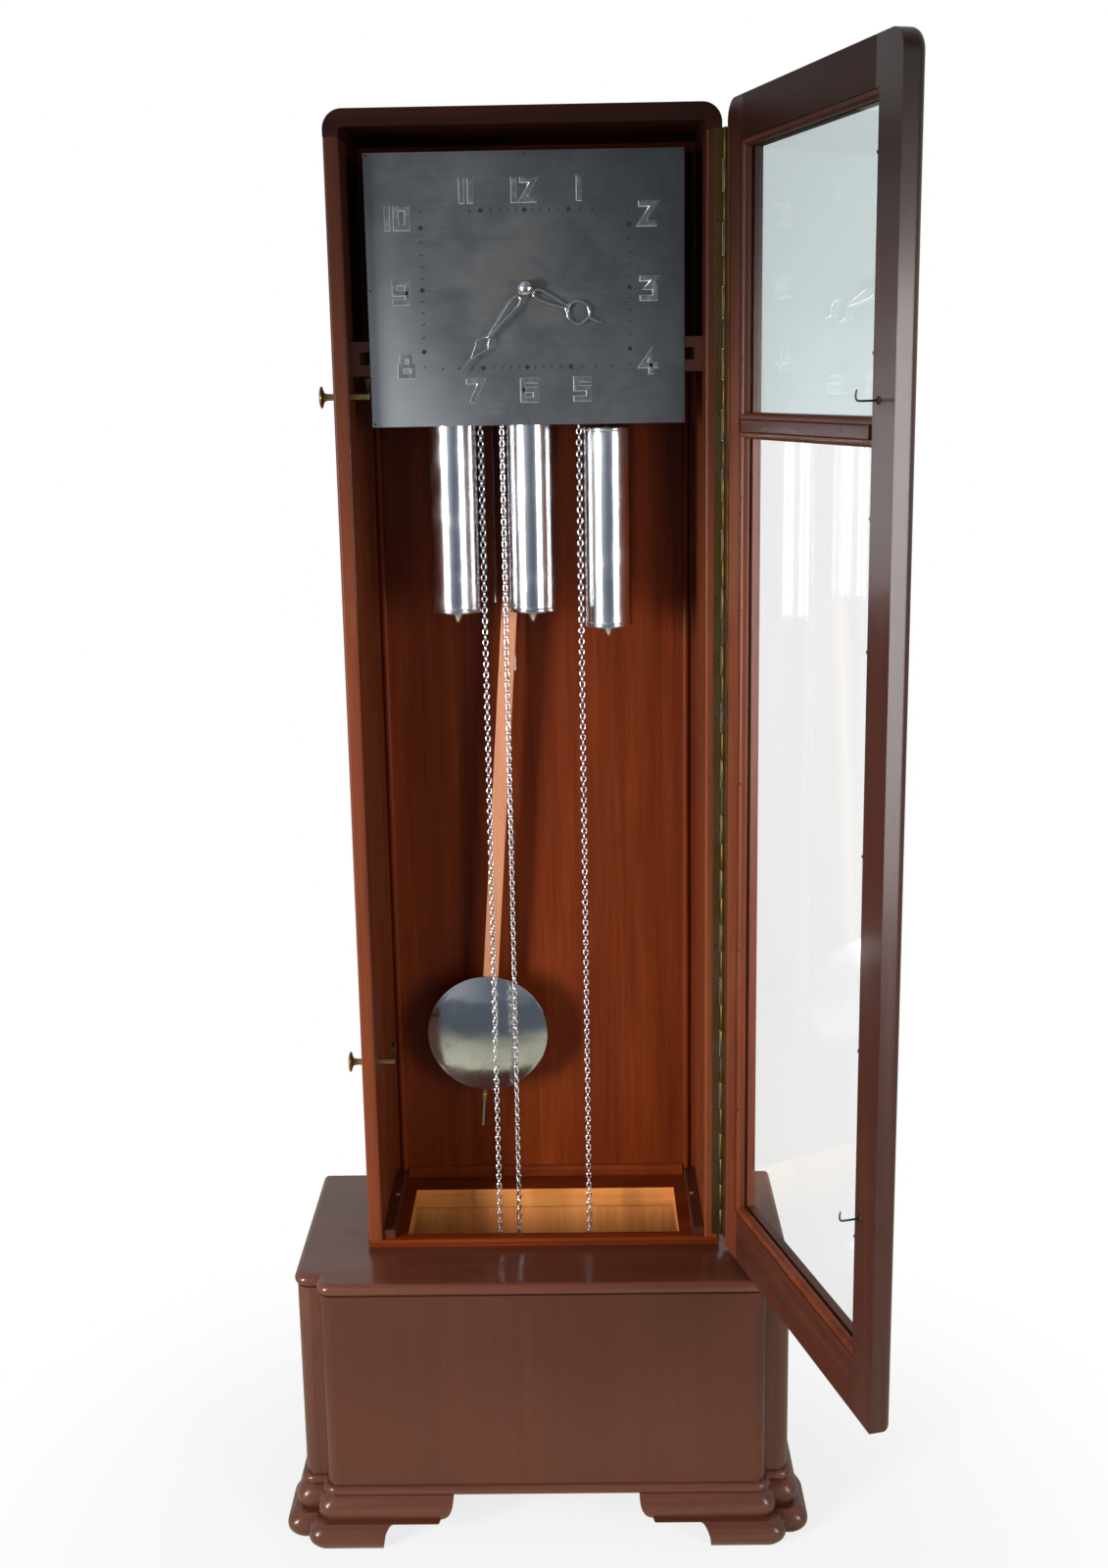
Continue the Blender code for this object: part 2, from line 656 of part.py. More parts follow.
def build_door():
    pivot = axis_frame("door_axis", (PIN_X, PIN_Y, 0.0), (0.0, 0.0, DOOR_OPEN), CLOCK)
    near = TRUNK_HALF - PIN_X  # hinge edge, seen from the pin
    far = -TRUNK_HALF - PIN_X
    inside = -DOOR_GAP - PIN_Y
    outside = inside - DOOR_THICK
    low = BASE_TOP + DOOR_LIFT
    left = far + LOCK_STILE
    right = near - HINGE_STILE
    sill = low + BOTTOM_RAIL
    head = TRUNK_TOP - TOP_RAIL
    levels = [(0.0, inside)]
    for k in range(ARC_STEPS + 1):
        angle = math.pi / 2 * k / ARC_STEPS
        inset = DOOR_EDGE_ROUND * (1 - math.cos(angle))
        levels.append((inset, outside + DOOR_EDGE_ROUND * (1 - math.sin(angle))))

    def blank():
        rings = []
        for inset, y in levels:
            outline = rounded([
                (far + inset, low + inset, EDGE_ROUND), (near - inset, low + inset, EDGE_ROUND),
                (near - inset, TRUNK_TOP - inset, TRUNK_CORNER - inset),
                (far + inset, TRUNK_TOP - inset, TRUNK_CORNER - inset),
            ])
            rings.append((outline, y))
        return loft(rings, "y")

    reach = (outside - OVERCUT, inside + OVERCUT)
    regions = {
        "door_hinge_stile": ((right, near + OVERCUT), (low - OVERCUT, TRUNK_TOP + OVERCUT)),
        "door_lock_stile": ((far - OVERCUT, left), (low - OVERCUT, TRUNK_TOP + OVERCUT)),
        "door_top_rail": ((left + FIT, right - FIT), (head, TRUNK_TOP + OVERCUT)),
        "door_bottom_rail": ((left + FIT, right - FIT), (low - OVERCUT, sill)),
    }
    recess = (outside + REBATE_LIP, inside + OVERCUT)
    for name, (x, z) in regions.items():
        frame = keep(piece(name, blank(), "mahogany", pivot), block(x, reach, z))
        cut(frame, block((left - REBATE, right + REBATE), recess, (sill - REBATE, head + REBATE)))
    bar = TRUNK_TOP - BAR_DROP
    rail = block((left + FIT, right - FIT), (inside - BAR_DEPTH, inside), (bar, bar + BAR_HEIGHT))
    piece("door_glazing_bar", rail, "mahogany", pivot)
    pane = outside + REBATE_LIP + FIT
    x = (left - REBATE + FIT, right + REBATE - FIT)
    y = (pane, pane + GLASS_THICK)
    piece("door_glass_upper", block(x, y, (bar + BAR_HEIGHT + FIT, head + REBATE - FIT)), "glass", pivot)
    piece("door_glass_lower", block(x, y, (sill - REBATE + FIT, bar - FIT)), "glass", pivot)
    claw = CLAW_INSET - INNER_HALF - PIN_X
    face = inside + FIT
    for name, z in (("door_hook_upper", UPPER_LATCH_Z), ("door_hook_lower", LOWER_LATCH_Z)):
        foot = z - HOOK_RISE + HOOK_WIRE
        outline = [(face, foot - HOOK_WIRE), (HOOK_REACH, foot - HOOK_WIRE), (HOOK_REACH, z + HOOK_WIRE),
                   (HOOK_REACH - HOOK_WIRE, z + HOOK_WIRE), (HOOK_REACH - HOOK_WIRE, foot), (face, foot)]
        hook = piece(name, prism(outline, "x", claw - HOOK_WIRE / 2, claw + HOOK_WIRE / 2), "steel", pivot)
        half = HOOK_PLATE_WIDTH / 2
        middle = foot - HOOK_WIRE / 2
        add(hook, block((claw - half, claw + half), (face, face + HOOK_PLATE),
                        (middle - HOOK_PLATE_HEIGHT / 2, middle + HOOK_PLATE_HEIGHT / 2)))
    build_hinge(pivot, low + HINGE_BOTTOM_GAP, TRUNK_TOP - HINGE_TOP_GAP)


def build_hinge(pivot, low, high):
    pitch = (high - low) / KNUCKLES
    near = -KNUCKLE_RADIUS - KNUCKLE_CLEARANCE  # leaf edge, seen from the pin
    fixed = axis_frame("hinge_axis", (PIN_X, PIN_Y, 0.0), parent=CLOCK)
    for name, parent, side, odd in (("hinge_leaf_trunk", fixed, 1, 0), ("hinge_leaf_door", pivot, -1, 1)):
        outer = side * (-PIN_Y - FIT)
        inner = outer - side * LEAF_THICK
        plate = block((near - LEAF_WIDTH, near), sorted((inner, outer)), (low, high))
        leaf = piece(name, plate, "brass", parent)
        rolls = bmesh.new()
        for k in range(odd, KNUCKLES, 2):
            ends = (low + k * pitch + FIT / 2, low + (k + 1) * pitch - FIT / 2)
            for shape in (shaft(KNUCKLE_RADIUS, "z", (0.0, 0.0), *ends, 8),
                          block((near - OVERCUT / 5, 0.0), sorted((inner, outer)), ends)):
                scratch = bpy.data.meshes.new("roll")
                bmesh.ops.recalc_face_normals(shape, faces=shape.faces)
                shape.to_mesh(scratch)
                shape.free()
                rolls.from_mesh(scratch)
                bpy.data.meshes.remove(scratch)
        knuckles = solid("guide_" + name + "_rolls", rolls, parent)
        step = leaf.modifiers.new("rolls", "BOOLEAN")
        step.operation = "UNION"
        step.solver = "EXACT"
        step.use_self = True
        step.object = knuckles
        knuckles.hide_render = True
        knuckles.display_type = "WIRE"
        if odd:
            cut(leaf, shaft(PIN_RADIUS + RUN, "z", (0.0, 0.0), low - OVERCUT, high + OVERCUT, 8))
        else:
            add(leaf, shaft(PIN_RADIUS, "z", (0.0, 0.0), low, high, 8))


def build_latches():
    for name, z in (("latch_upper", UPPER_LATCH_Z), ("latch_lower", LOWER_LATCH_Z)):
        pivot = axis_frame(name + "_axis", (0.0, LATCH_DEPTH, z), parent=CLOCK)
        face = -TRUNK_HALF - KNOB_STAND
        claw = CLAW_INSET - INNER_HALF
        knob = piece(name, turned([
            (0.0, face), (KNOB_RADIUS * 0.7, face + KNOB_THICK * 0.1), (KNOB_RADIUS, face + KNOB_THICK * 0.4),
            (KNOB_RADIUS * 0.9, face + KNOB_THICK * 0.8), (SPINDLE_RADIUS, face + KNOB_THICK),
            (SPINDLE_RADIUS, claw + CLAW_THICK / 2),
        ], "x", (0.0, 0.0)), "brass", pivot, smooth=True)
        outline = [
            (-CLAW_WIDTH / 2, 0.0), (CLAW_WIDTH * 2, CLAW_WIDTH), (CLAW_WIDTH * 2, CLAW_LENGTH),
            (-CLAW_WIDTH / 2, CLAW_LENGTH), (-CLAW_WIDTH / 2, CLAW_LENGTH - CLAW_WIDTH),
            (CLAW_WIDTH, CLAW_LENGTH - CLAW_WIDTH), (CLAW_WIDTH, CLAW_WIDTH * 1.5),
        ]
        add(knob, prism(outline, "x", claw - CLAW_THICK / 2, claw + CLAW_THICK / 2))


def build_dial():
    low = ARBOR_Z - DIAL_BELOW
    half = DIAL_WIDTH / 2
    back = DIAL_DEPTH + DIAL_THICK
    dial = piece("dial", block((-half, half), (DIAL_DEPTH, back), (low, low + DIAL_HEIGHT)), "dial_metal")
    cut(dial, shaft(DIAL_HOLE, "y", (0.0, ARBOR_Z), DIAL_DEPTH - OVERCUT, back + OVERCUT))
    ends = (DIAL_DEPTH + DIAL_THICK / 2, FRONT_PLATE_FRONT - FIT)
    for x in (-DIAL_POST_SPREAD, DIAL_POST_SPREAD):
        for z in (ARBOR_Z - DIAL_POST_LOW, ARBOR_Z + DIAL_POST_HIGH):
            add(dial, shaft(DIAL_POST_RADIUS, "y", (x, z), *ends, 8))


def both_sides(half):
    """Outline that points up, from its right half; a last point on the middle line is kept once."""
    return half + [(-x, z) for x, z in reversed(half) if x > 0.0]


def build_hands():
    neck = HAND_NECK / 2
    point = HAND_POINT / 2
    minute = axis_frame("minute_axis", (0.0, 0.0, ARBOR_Z), (0.0, MINUTE_ANGLE, 0.0), CLOCK)
    back = MINUTE_HAND_BACK
    front = back - HAND_THICK
    reach = (front - OVERCUT, back + OVERCUT)
    loop = MINUTE_LOOP_WIDTH / 2
    barb = MINUTE_BARB_WIDTH / 2
    blade = both_sides([(neck, 0.0), (loop, MINUTE_LOOP_AT), (neck, MINUTE_NECK_AT), (barb, MINUTE_BARB_AT),
                        (neck, MINUTE_HEAD_END), (point, MINUTE_LENGTH)])
    hand = piece("minute_hand", prism(blade, "y", front, back), "chrome", minute)
    add(hand, shaft(MINUTE_HUB, "y", (0.0, 0.0), front, back, ROUND_STEPS))
    slot = both_sides([(point, MINUTE_HUB + HAND_BAND), (loop - HAND_BAND, MINUTE_LOOP_AT),
                       (point, MINUTE_NECK_AT - 2 * HAND_BAND)])
    cut(hand, prism(slot, "y", *reach))
    cut(hand, shaft(ARBOR_RADIUS + FIT, "y", (0.0, 0.0), *reach))

    hour = axis_frame("hour_axis", (0.0, 0.0, ARBOR_Z), (0.0, HOUR_ANGLE, 0.0), CLOCK)
    back = HOUR_HAND_BACK
    front = back - HAND_THICK
    reach = (front - OVERCUT, back + OVERCUT)
    loop = HOUR_LOOP_WIDTH / 2
    ring_low = HOUR_RING_AT - HOUR_RING_RADIUS
    ring_high = HOUR_RING_AT + HOUR_RING_RADIUS
    blade = both_sides([(loop, 0.0), (loop, HOUR_LOOP_AT), (neck, ring_low + HAND_BAND)])
    hand = piece("hour_hand", prism(blade, "y", front, back), "chrome", hour)
    add(hand, shaft(HOUR_HUB, "y", (0.0, 0.0), front, back, ROUND_STEPS))
    add(hand, shaft(HOUR_RING_RADIUS, "y", (0.0, HOUR_RING_AT), front, back, ROUND_STEPS))
    tip = both_sides([(neck, ring_high - HAND_BAND), (HOUR_TIP_WIDTH / 2, ring_high + HAND_BAND / 2),
                      (point, HOUR_LENGTH)])
    add(hand, prism(tip, "y", front, back))
    slot = both_sides([(loop - HAND_BAND, HOUR_HUB + HAND_BAND), (loop - HAND_BAND, HOUR_LOOP_AT),
                       (point, ring_low - HAND_BAND)])
    cut(hand, prism(slot, "y", *reach))
    cut(hand, shaft(HOUR_RING_RADIUS - HAND_BAND, "y", (0.0, HOUR_RING_AT), *reach, ROUND_STEPS))
    cut(hand, shaft(HOUR_PIPE_RADIUS + FIT, "y", (0.0, 0.0), *reach))

    axis = axis_frame("hand_nut_axis", (0.0, 0.0, ARBOR_Z), parent=CLOCK)
    nut = piece("hand_nut", turned([
        (NUT_RADIUS, NUT_BACK), (NUT_RADIUS, NUT_BACK - NUT_HEIGHT * 0.3),
        (NUT_RADIUS * 0.85, NUT_BACK - NUT_HEIGHT * 0.65),
        (NUT_RADIUS * 0.5, NUT_BACK - NUT_HEIGHT * 0.92), (0.0, NUT_BACK - NUT_HEIGHT),
    ], "y", (0.0, 0.0)), "chrome", axis, smooth=True)
    cut(nut, shaft(ARBOR_RADIUS + FIT, "y", (0.0, 0.0), NUT_BACK - NUT_HEIGHT * 0.6, NUT_BACK + OVERCUT))


def chain_side(name):
    """Sprocket middle and free run for one weight."""
    x, _, side = WEIGHTS[name]
    return x + side * SPROCKET_RADIUS, x + 2 * side * SPROCKET_RADIUS


def gear_spot():
    return (GEAR_DISTANCE * math.cos(GEAR_BEARING), ARBOR_Z + GEAR_DISTANCE * math.sin(GEAR_BEARING))


def build_movement():
    wide = (-PLATE_WIDTH / 2, PLATE_WIDTH / 2)
    tall = (PLATE_BOTTOM, PLATE_TOP)
    front = piece("movement_front_plate", block(wide, (FRONT_PLATE_FRONT, FRONT_PLATE_BACK), tall), "brass")
    back = piece("movement_back_plate", block(wide, (BACK_PLATE_FRONT, BACK_PLATE_BACK), tall), "brass")
    ends = (FRONT_PLATE_BACK + FIT, BACK_PLATE_FRONT + PLATE_THICK / 2)
    for x in (-PILLAR_X, PILLAR_X):
        for z in (PLATE_BOTTOM + PILLAR_EDGE, PLATE_TOP - PILLAR_EDGE):
            add(back, shaft(PILLAR_RADIUS, "y", (x, z), *ends, 8))
    holes = [(chain_side(name)[0], SPROCKET_Z) for name in WEIGHTS] + [(0.0, ESCAPE_Z)]
    for spot in holes:
        for plate, y in ((front, FRONT_PLATE_FRONT), (back, BACK_PLATE_FRONT)):
            cut(plate, shaft(PIVOT_RADIUS + RUN, "y", spot, y - OVERCUT, y + PLATE_THICK + OVERCUT, 10))
    for plate, y, z in ((front, FRONT_PLATE_FRONT, ARBOR_Z), (back, BACK_PLATE_FRONT, ARBOR_Z),
                        (front, FRONT_PLATE_FRONT, PIVOT_Z), (back, BACK_PLATE_FRONT, PIVOT_Z)):
        cut(plate, shaft(ARBOR_RADIUS + RUN, "y", (0.0, z), y - OVERCUT, y + PLATE_THICK + OVERCUT, 10))
    spot = gear_spot()
    wheel_front = FRONT_PLATE_FRONT - RUN - GEAR_THICK
    pinion_front = wheel_front - GEAR_THICK - 2 * RUN
    add(front, shaft(STUD_RADIUS, "y", spot, pinion_front - RUN, FRONT_PLATE_FRONT + PLATE_THICK / 2, 10))

    build_cock(back)
    lugs(back)

    tooth = GEAR_BEARING
    total = CANNON_TEETH + MINUTE_TEETH
    cannon_radius = GEAR_DISTANCE * CANNON_TEETH / total
    axis = axis_frame("centre_axis", (0.0, 0.0, ARBOR_Z), parent=CLOCK)
    ends = (NUT_BACK - NUT_HEIGHT * 0.5, BACK_PLATE_BACK)
    arbor = piece("centre_arbor", shaft(ARBOR_RADIUS, "y", (0.0, 0.0), *ends), "steel", axis)
    add(arbor, prism(gear(CANNON_TEETH, cannon_radius, tooth), "y", wheel_front, wheel_front + GEAR_THICK))
    wheel = CHAIN_PLANE + PLATE_GAP / 4
    add(arbor, shaft(CENTRE_WHEEL_RADIUS, "y", (0.0, 0.0), wheel, wheel + WHEEL_THICK, ROUND_STEPS))

    axis = axis_frame("minute_wheel_axis", (spot[0], 0.0, spot[1]), parent=CLOCK)
    wheel_radius = GEAR_DISTANCE - cannon_radius
    phase = tooth + math.pi + math.pi / MINUTE_TEETH
    outline = gear(MINUTE_TEETH, wheel_radius, phase)
    minute = piece("minute_wheel", prism(outline, "y", wheel_front, wheel_front + GEAR_THICK), "brass", axis)
    pinion_radius = GEAR_DISTANCE * PINION_TEETH / (PINION_TEETH + HOUR_TEETH)
    outline = gear(PINION_TEETH, pinion_radius, tooth + math.pi)
    add(minute, prism(outline, "y", pinion_front, wheel_front + GEAR_THICK / 2))
    bore = (pinion_front - OVERCUT, FRONT_PLATE_FRONT + OVERCUT)
    cut(minute, shaft(STUD_RADIUS + RUN, "y", (0.0, 0.0), *bore, 10))

    axis = axis_frame("hour_wheel_axis", (0.0, 0.0, ARBOR_Z), parent=CLOCK)
    hour_radius = GEAR_DISTANCE - pinion_radius
    outline = gear(HOUR_TEETH, hour_radius, tooth + math.pi / HOUR_TEETH)
    hour = piece("hour_wheel", prism(outline, "y", pinion_front, pinion_front + GEAR_THICK), "brass", axis)
    ends = (HOUR_HAND_BACK - HAND_THICK - RUN, pinion_front + GEAR_THICK / 2)
    add(hour, shaft(HOUR_PIPE_RADIUS, "y", (0.0, 0.0), *ends))
    bore = (HOUR_HAND_BACK - OVERCUT, FRONT_PLATE_FRONT + OVERCUT)
    cut(hour, shaft(ARBOR_RADIUS + RUN, "y", (0.0, 0.0), *bore))

    axis = axis_frame("escape_axis", (0.0, 0.0, ESCAPE_Z), parent=CLOCK)
    wheel = FRONT_PLATE_BACK + PLATE_GAP / 4
    outline = gear(ESCAPE_TEETH, ESCAPE_RADIUS, 0.0)
    escape = piece("escape_wheel", prism(outline, "y", wheel, wheel + WHEEL_THICK), "brass", axis)
    add(escape, shaft(PIVOT_RADIUS, "y", (0.0, 0.0), FRONT_PLATE_FRONT, BACK_PLATE_BACK, 10))
    build_anchor(wheel)


def build_anchor(wheel):
    axis = axis_frame("anchor_axis", (0.0, 0.0, PIVOT_Z), (0.0, PENDULUM_LEAN, 0.0), CLOCK)
    outline = [
        (0.0, ARBOR_RADIUS * 2), (ANCHOR_REACH, -ANCHOR_DROP / 2), (ANCHOR_REACH, -ANCHOR_DROP),
        (ANCHOR_REACH - CRUTCH_WIDTH / 2, -ANCHOR_DROP), (0.0, -ANCHOR_DROP / 3),
        (CRUTCH_WIDTH / 2 - ANCHOR_REACH, -ANCHOR_DROP), (-ANCHOR_REACH, -ANCHOR_DROP),
        (-ANCHOR_REACH, -ANCHOR_DROP / 2),
    ]
    anchor = piece("anchor", prism(outline, "y", wheel - RUN, wheel - RUN + ANCHOR_THICK), "steel", axis)
    crutch = BACK_PLATE_BACK + CRUTCH_WIDTH
    behind = crutch + CRUTCH_WIDTH
    add(anchor, shaft(ARBOR_RADIUS, "y", (0.0, 0.0), FRONT_PLATE_FRONT, behind, 10))
    add(anchor, block((-CRUTCH_WIDTH / 2, CRUTCH_WIDTH / 2), (crutch, behind), (-CRUTCH_DROP, 0.0)))
    inner = ROD_WIDTH / 2 + FIT
    outer = inner + CRUTCH_WIDTH / 2
    add(anchor, block((-outer, outer), (crutch, behind), (-CRUTCH_DROP - CRUTCH_WIDTH, -CRUTCH_DROP)))
    for sign in (-1, 1):
        x = sorted((sign * inner, sign * outer))
        deep = (crutch, PENDULUM_PLANE + ROD_THICK / 2)
        add(anchor, block(x, deep, (-CRUTCH_DROP - CRUTCH_WIDTH, -CRUTCH_DROP)))


def build_cock(back):
    """Suspension cock: two arms behind the back plate, with two notched saddles for the spring's pin."""
    first = PENDULUM_PLANE - SADDLE_SPACING / 2 - SADDLE_THICK / 2
    last = PENDULUM_PLANE + SADDLE_SPACING / 2 + SADDLE_THICK / 2
    low = PIVOT_Z - COCK_ARM_HEIGHT / 2
    high = PIVOT_Z + COCK_ARM_HEIGHT / 2
    outer = COCK_ARM_X + COCK_ARM_WIDTH
    for sign in (-1, 1):
        x = sorted((sign * COCK_ARM_X, sign * outer))
        add(back, block(x, (BACK_PLATE_BACK - PLATE_THICK / 2, last), (low, high)))
    floor = PIVOT_Z - SPRING_PIN_RADIUS - FIT
    tall = (floor - SADDLE_HEIGHT / 2, floor + SADDLE_HEIGHT / 2)
    for y in (first, last - SADDLE_THICK):
        add(back, block((-outer, outer), (y, y + SADDLE_THICK), tall))
    notch = SPRING_PIN_RADIUS + FIT
    cut(back, block((-notch, notch), (first - OVERCUT / 5, last + OVERCUT / 5), (floor, high + OVERCUT)))


def hammer_x(k):
    return CHIME_FIRST_X - k * CHIME_SPACING


def lugs(back):
    """Two lugs behind the back plate with the shaft that carries the hammers."""
    right = hammer_x(0) + HAMMER_HUB_WIDTH / 2 + RUN
    left = hammer_x(len(CHIME_LENGTHS) - 1) - HAMMER_HUB_WIDTH / 2 - RUN
    y = (BACK_PLATE_BACK - PLATE_THICK / 2, HAMMER_PLANE + HAMMER_SHAFT_RADIUS * 2)
    z = (HAMMER_Z - HAMMER_SHAFT_RADIUS * 2, HAMMER_Z + HAMMER_SHAFT_RADIUS * 2)
    for x in ((right, right + HAMMER_LUG), (left - HAMMER_LUG, left)):
        add(back, block(x, y, z))
    ends = (left - HAMMER_LUG / 2, right + HAMMER_LUG / 2)
    add(back, shaft(HAMMER_SHAFT_RADIUS, "x", (HAMMER_PLANE, HAMMER_Z), *ends, 10))


def build_chime():
    right = CHIME_FIRST_X + CHIME_SPACING
    depth = BACK_FRONT - FIT
    top = CHIME_BLOCK_BOTTOM + CHIME_BLOCK_HEIGHT
    wide = (right - CHIME_BLOCK_WIDTH, right)
    bar = block(wide, (depth - CHIME_BLOCK_DEPTH, depth), (CHIME_BLOCK_BOTTOM, top))
    rods = piece("chime_rods", bar, "steel")
    for k, length in enumerate(CHIME_LENGTHS):
        spot = (hammer_x(k), CHIME_PLANE)
        ends = (CHIME_BLOCK_BOTTOM - length, CHIME_BLOCK_BOTTOM + CHIME_BLOCK_HEIGHT / 2)
        add(rods, shaft(CHIME_ROD_RADIUS, "z", spot, *ends, 8))
        name = "hammer_%d" % (k + 1)
        axis = axis_frame(name + "_axis", (spot[0], HAMMER_PLANE, HAMMER_Z), parent=CLOCK)
        half = HAMMER_HUB_WIDTH / 2
        hammer = piece(name, shaft(HAMMER_HUB_RADIUS, "x", (0.0, 0.0), -half, half), "brass", axis)
        upper = HAMMER_RISE + HAMMER_ARM / 2
        arm = [(0.0, -HAMMER_ARM / 2), (HAMMER_ARM, -HAMMER_ARM / 2),
               (HAMMER_REACH, HAMMER_RISE - HAMMER_ARM), (HAMMER_REACH, upper), (HAMMER_REACH - HAMMER_ARM, upper), (0.0, HAMMER_ARM)]
        add(hammer, prism(arm, "x", -HAMMER_ARM / 2, HAMMER_ARM / 2))
        head = HAMMER_REACH - HAMMER_HEAD_LENGTH / 2
        add(hammer, shaft(HAMMER_HEAD_RADIUS, "y", (0.0, HAMMER_RISE), head, head + HAMMER_HEAD_LENGTH, 10))
        cut(hammer, shaft(HAMMER_SHAFT_RADIUS + RUN, "x", (0.0, 0.0), -half - OVERCUT, half + OVERCUT, 10))


def build_seat():
    reach = INNER_HALF - FIT
    front = CHAIN_PLANE - SEAT_DEPTH / 2
    bracket_front = CHAIN_PLANE - BRACKET_DEPTH / 2
    for name, sign in (("seat_bracket_left", -1), ("seat_bracket_right", 1)):
        inner = reach - BRACKET_WIDTH
        notch = inner + BRACKET_NOTCH
        outline = [
            (reach, SEAT_BOTTOM - BRACKET_LEDGE), (reach, SEAT_TOP + BRACKET_LID),
            (inner, SEAT_TOP + BRACKET_LID), (inner, SEAT_TOP + FIT), (notch, SEAT_TOP + FIT),
            (notch, SEAT_BOTTOM - FIT), (inner, SEAT_BOTTOM - FIT), (inner, SEAT_BOTTOM - BRACKET_LEDGE),
        ]
        ends = (bracket_front, bracket_front + BRACKET_DEPTH)
        piece(name, prism(mirrored(outline, sign), "y", *ends), "mahogany")
    half = reach - BRACKET_WIDTH + BRACKET_NOTCH - FIT
    board = block((-half, half), (front, front + SEAT_DEPTH), (SEAT_BOTTOM, SEAT_TOP))
    seat = piece("seat_board", board, "raw_wood")
    wide = (-SEAT_SLOT_WIDTH / 2, SEAT_SLOT_WIDTH / 2)
    deep = (CHAIN_PLANE - SEAT_SLOT_DEPTH / 2, CHAIN_PLANE + SEAT_SLOT_DEPTH / 2)
    cut(seat, block(wide, deep, (SEAT_BOTTOM - OVERCUT, SEAT_TOP + OVERCUT)))


def build_weights():
    for name, (x, top, side) in WEIGHTS.items():
        middle, free = chain_side(name)
        rim = WEIGHT_RADIUS + WEIGHT_RIM
        bottom = top - WEIGHT_LENGTH
        eye = top + WEIGHT_EYE
        piece("weight_" + name, turned([
            (0.0, eye), (WEIGHT_EYE * 0.18, eye - WEIGHT_EYE * 0.2),
            (WEIGHT_EYE * 0.12, eye - WEIGHT_EYE * 0.4), (WEIGHT_EYE * 0.12, top + WEIGHT_RIM * 3),
            (rim, top), (rim, top - WEIGHT_RIM_HEIGHT), (WEIGHT_RADIUS, top - WEIGHT_RIM_HEIGHT - WEIGHT_RIM),
            (WEIGHT_RADIUS, bottom + WEIGHT_RIM_HEIGHT + WEIGHT_RIM), (rim, bottom + WEIGHT_RIM_HEIGHT),
            (rim, bottom), (WEIGHT_TIP * 0.5, bottom - WEIGHT_TIP * 0.15),
            (WEIGHT_TIP * 0.3, bottom - WEIGHT_TIP * 0.6), (0.0, bottom - WEIGHT_TIP),
        ], "z", (x, CHAIN_PLANE)), "chrome", smooth=True)
        path = [(x, eye + FIT)]
        for k in range(2 * ARC_STEPS + 1):
            angle = math.pi * k / (2 * ARC_STEPS)
            across = middle - side * SPROCKET_RADIUS * math.cos(angle)
            path.append((across, SPROCKET_Z + SPROCKET_RADIUS * math.sin(angle)))
        path.append((free, CHAIN_END))
        piece("chain_" + name, tube(path, CHAIN_RADIUS, CHAIN_PLANE), "steel", smooth=True)

        axis = axis_frame("chain_wheel_" + name + "_axis", (middle, 0.0, SPROCKET_Z), parent=CLOCK)
        groove = CHAIN_RADIUS + RUN
        core = SPROCKET_RADIUS - CHAIN_RADIUS - RUN
        great = CHAIN_PLANE + PLATE_GAP / 4
        front = CHAIN_PLANE - groove
        rear = CHAIN_PLANE + groove
        piece("chain_wheel_" + name, turned([
            (PIVOT_RADIUS, FRONT_PLATE_FRONT), (PIVOT_RADIUS, FRONT_PLATE_BACK + RUN),
            (ARBOR_RADIUS, FRONT_PLATE_BACK + RUN), (ARBOR_RADIUS, front - FLANGE_THICK),
            (FLANGE_RADIUS, front - FLANGE_THICK), (FLANGE_RADIUS, front), (core, front),
            (core, rear), (FLANGE_RADIUS, rear), (FLANGE_RADIUS, rear + FLANGE_THICK),
            (ARBOR_RADIUS, rear + FLANGE_THICK), (ARBOR_RADIUS, great), (GREAT_WHEEL_RADIUS, great),
            (GREAT_WHEEL_RADIUS, great + WHEEL_THICK), (ARBOR_RADIUS, great + WHEEL_THICK),
            (ARBOR_RADIUS, BACK_PLATE_FRONT - RUN), (PIVOT_RADIUS, BACK_PLATE_FRONT - RUN),
            (PIVOT_RADIUS, BACK_PLATE_BACK),
        ], "y", (0.0, 0.0), 16), "brass", axis)


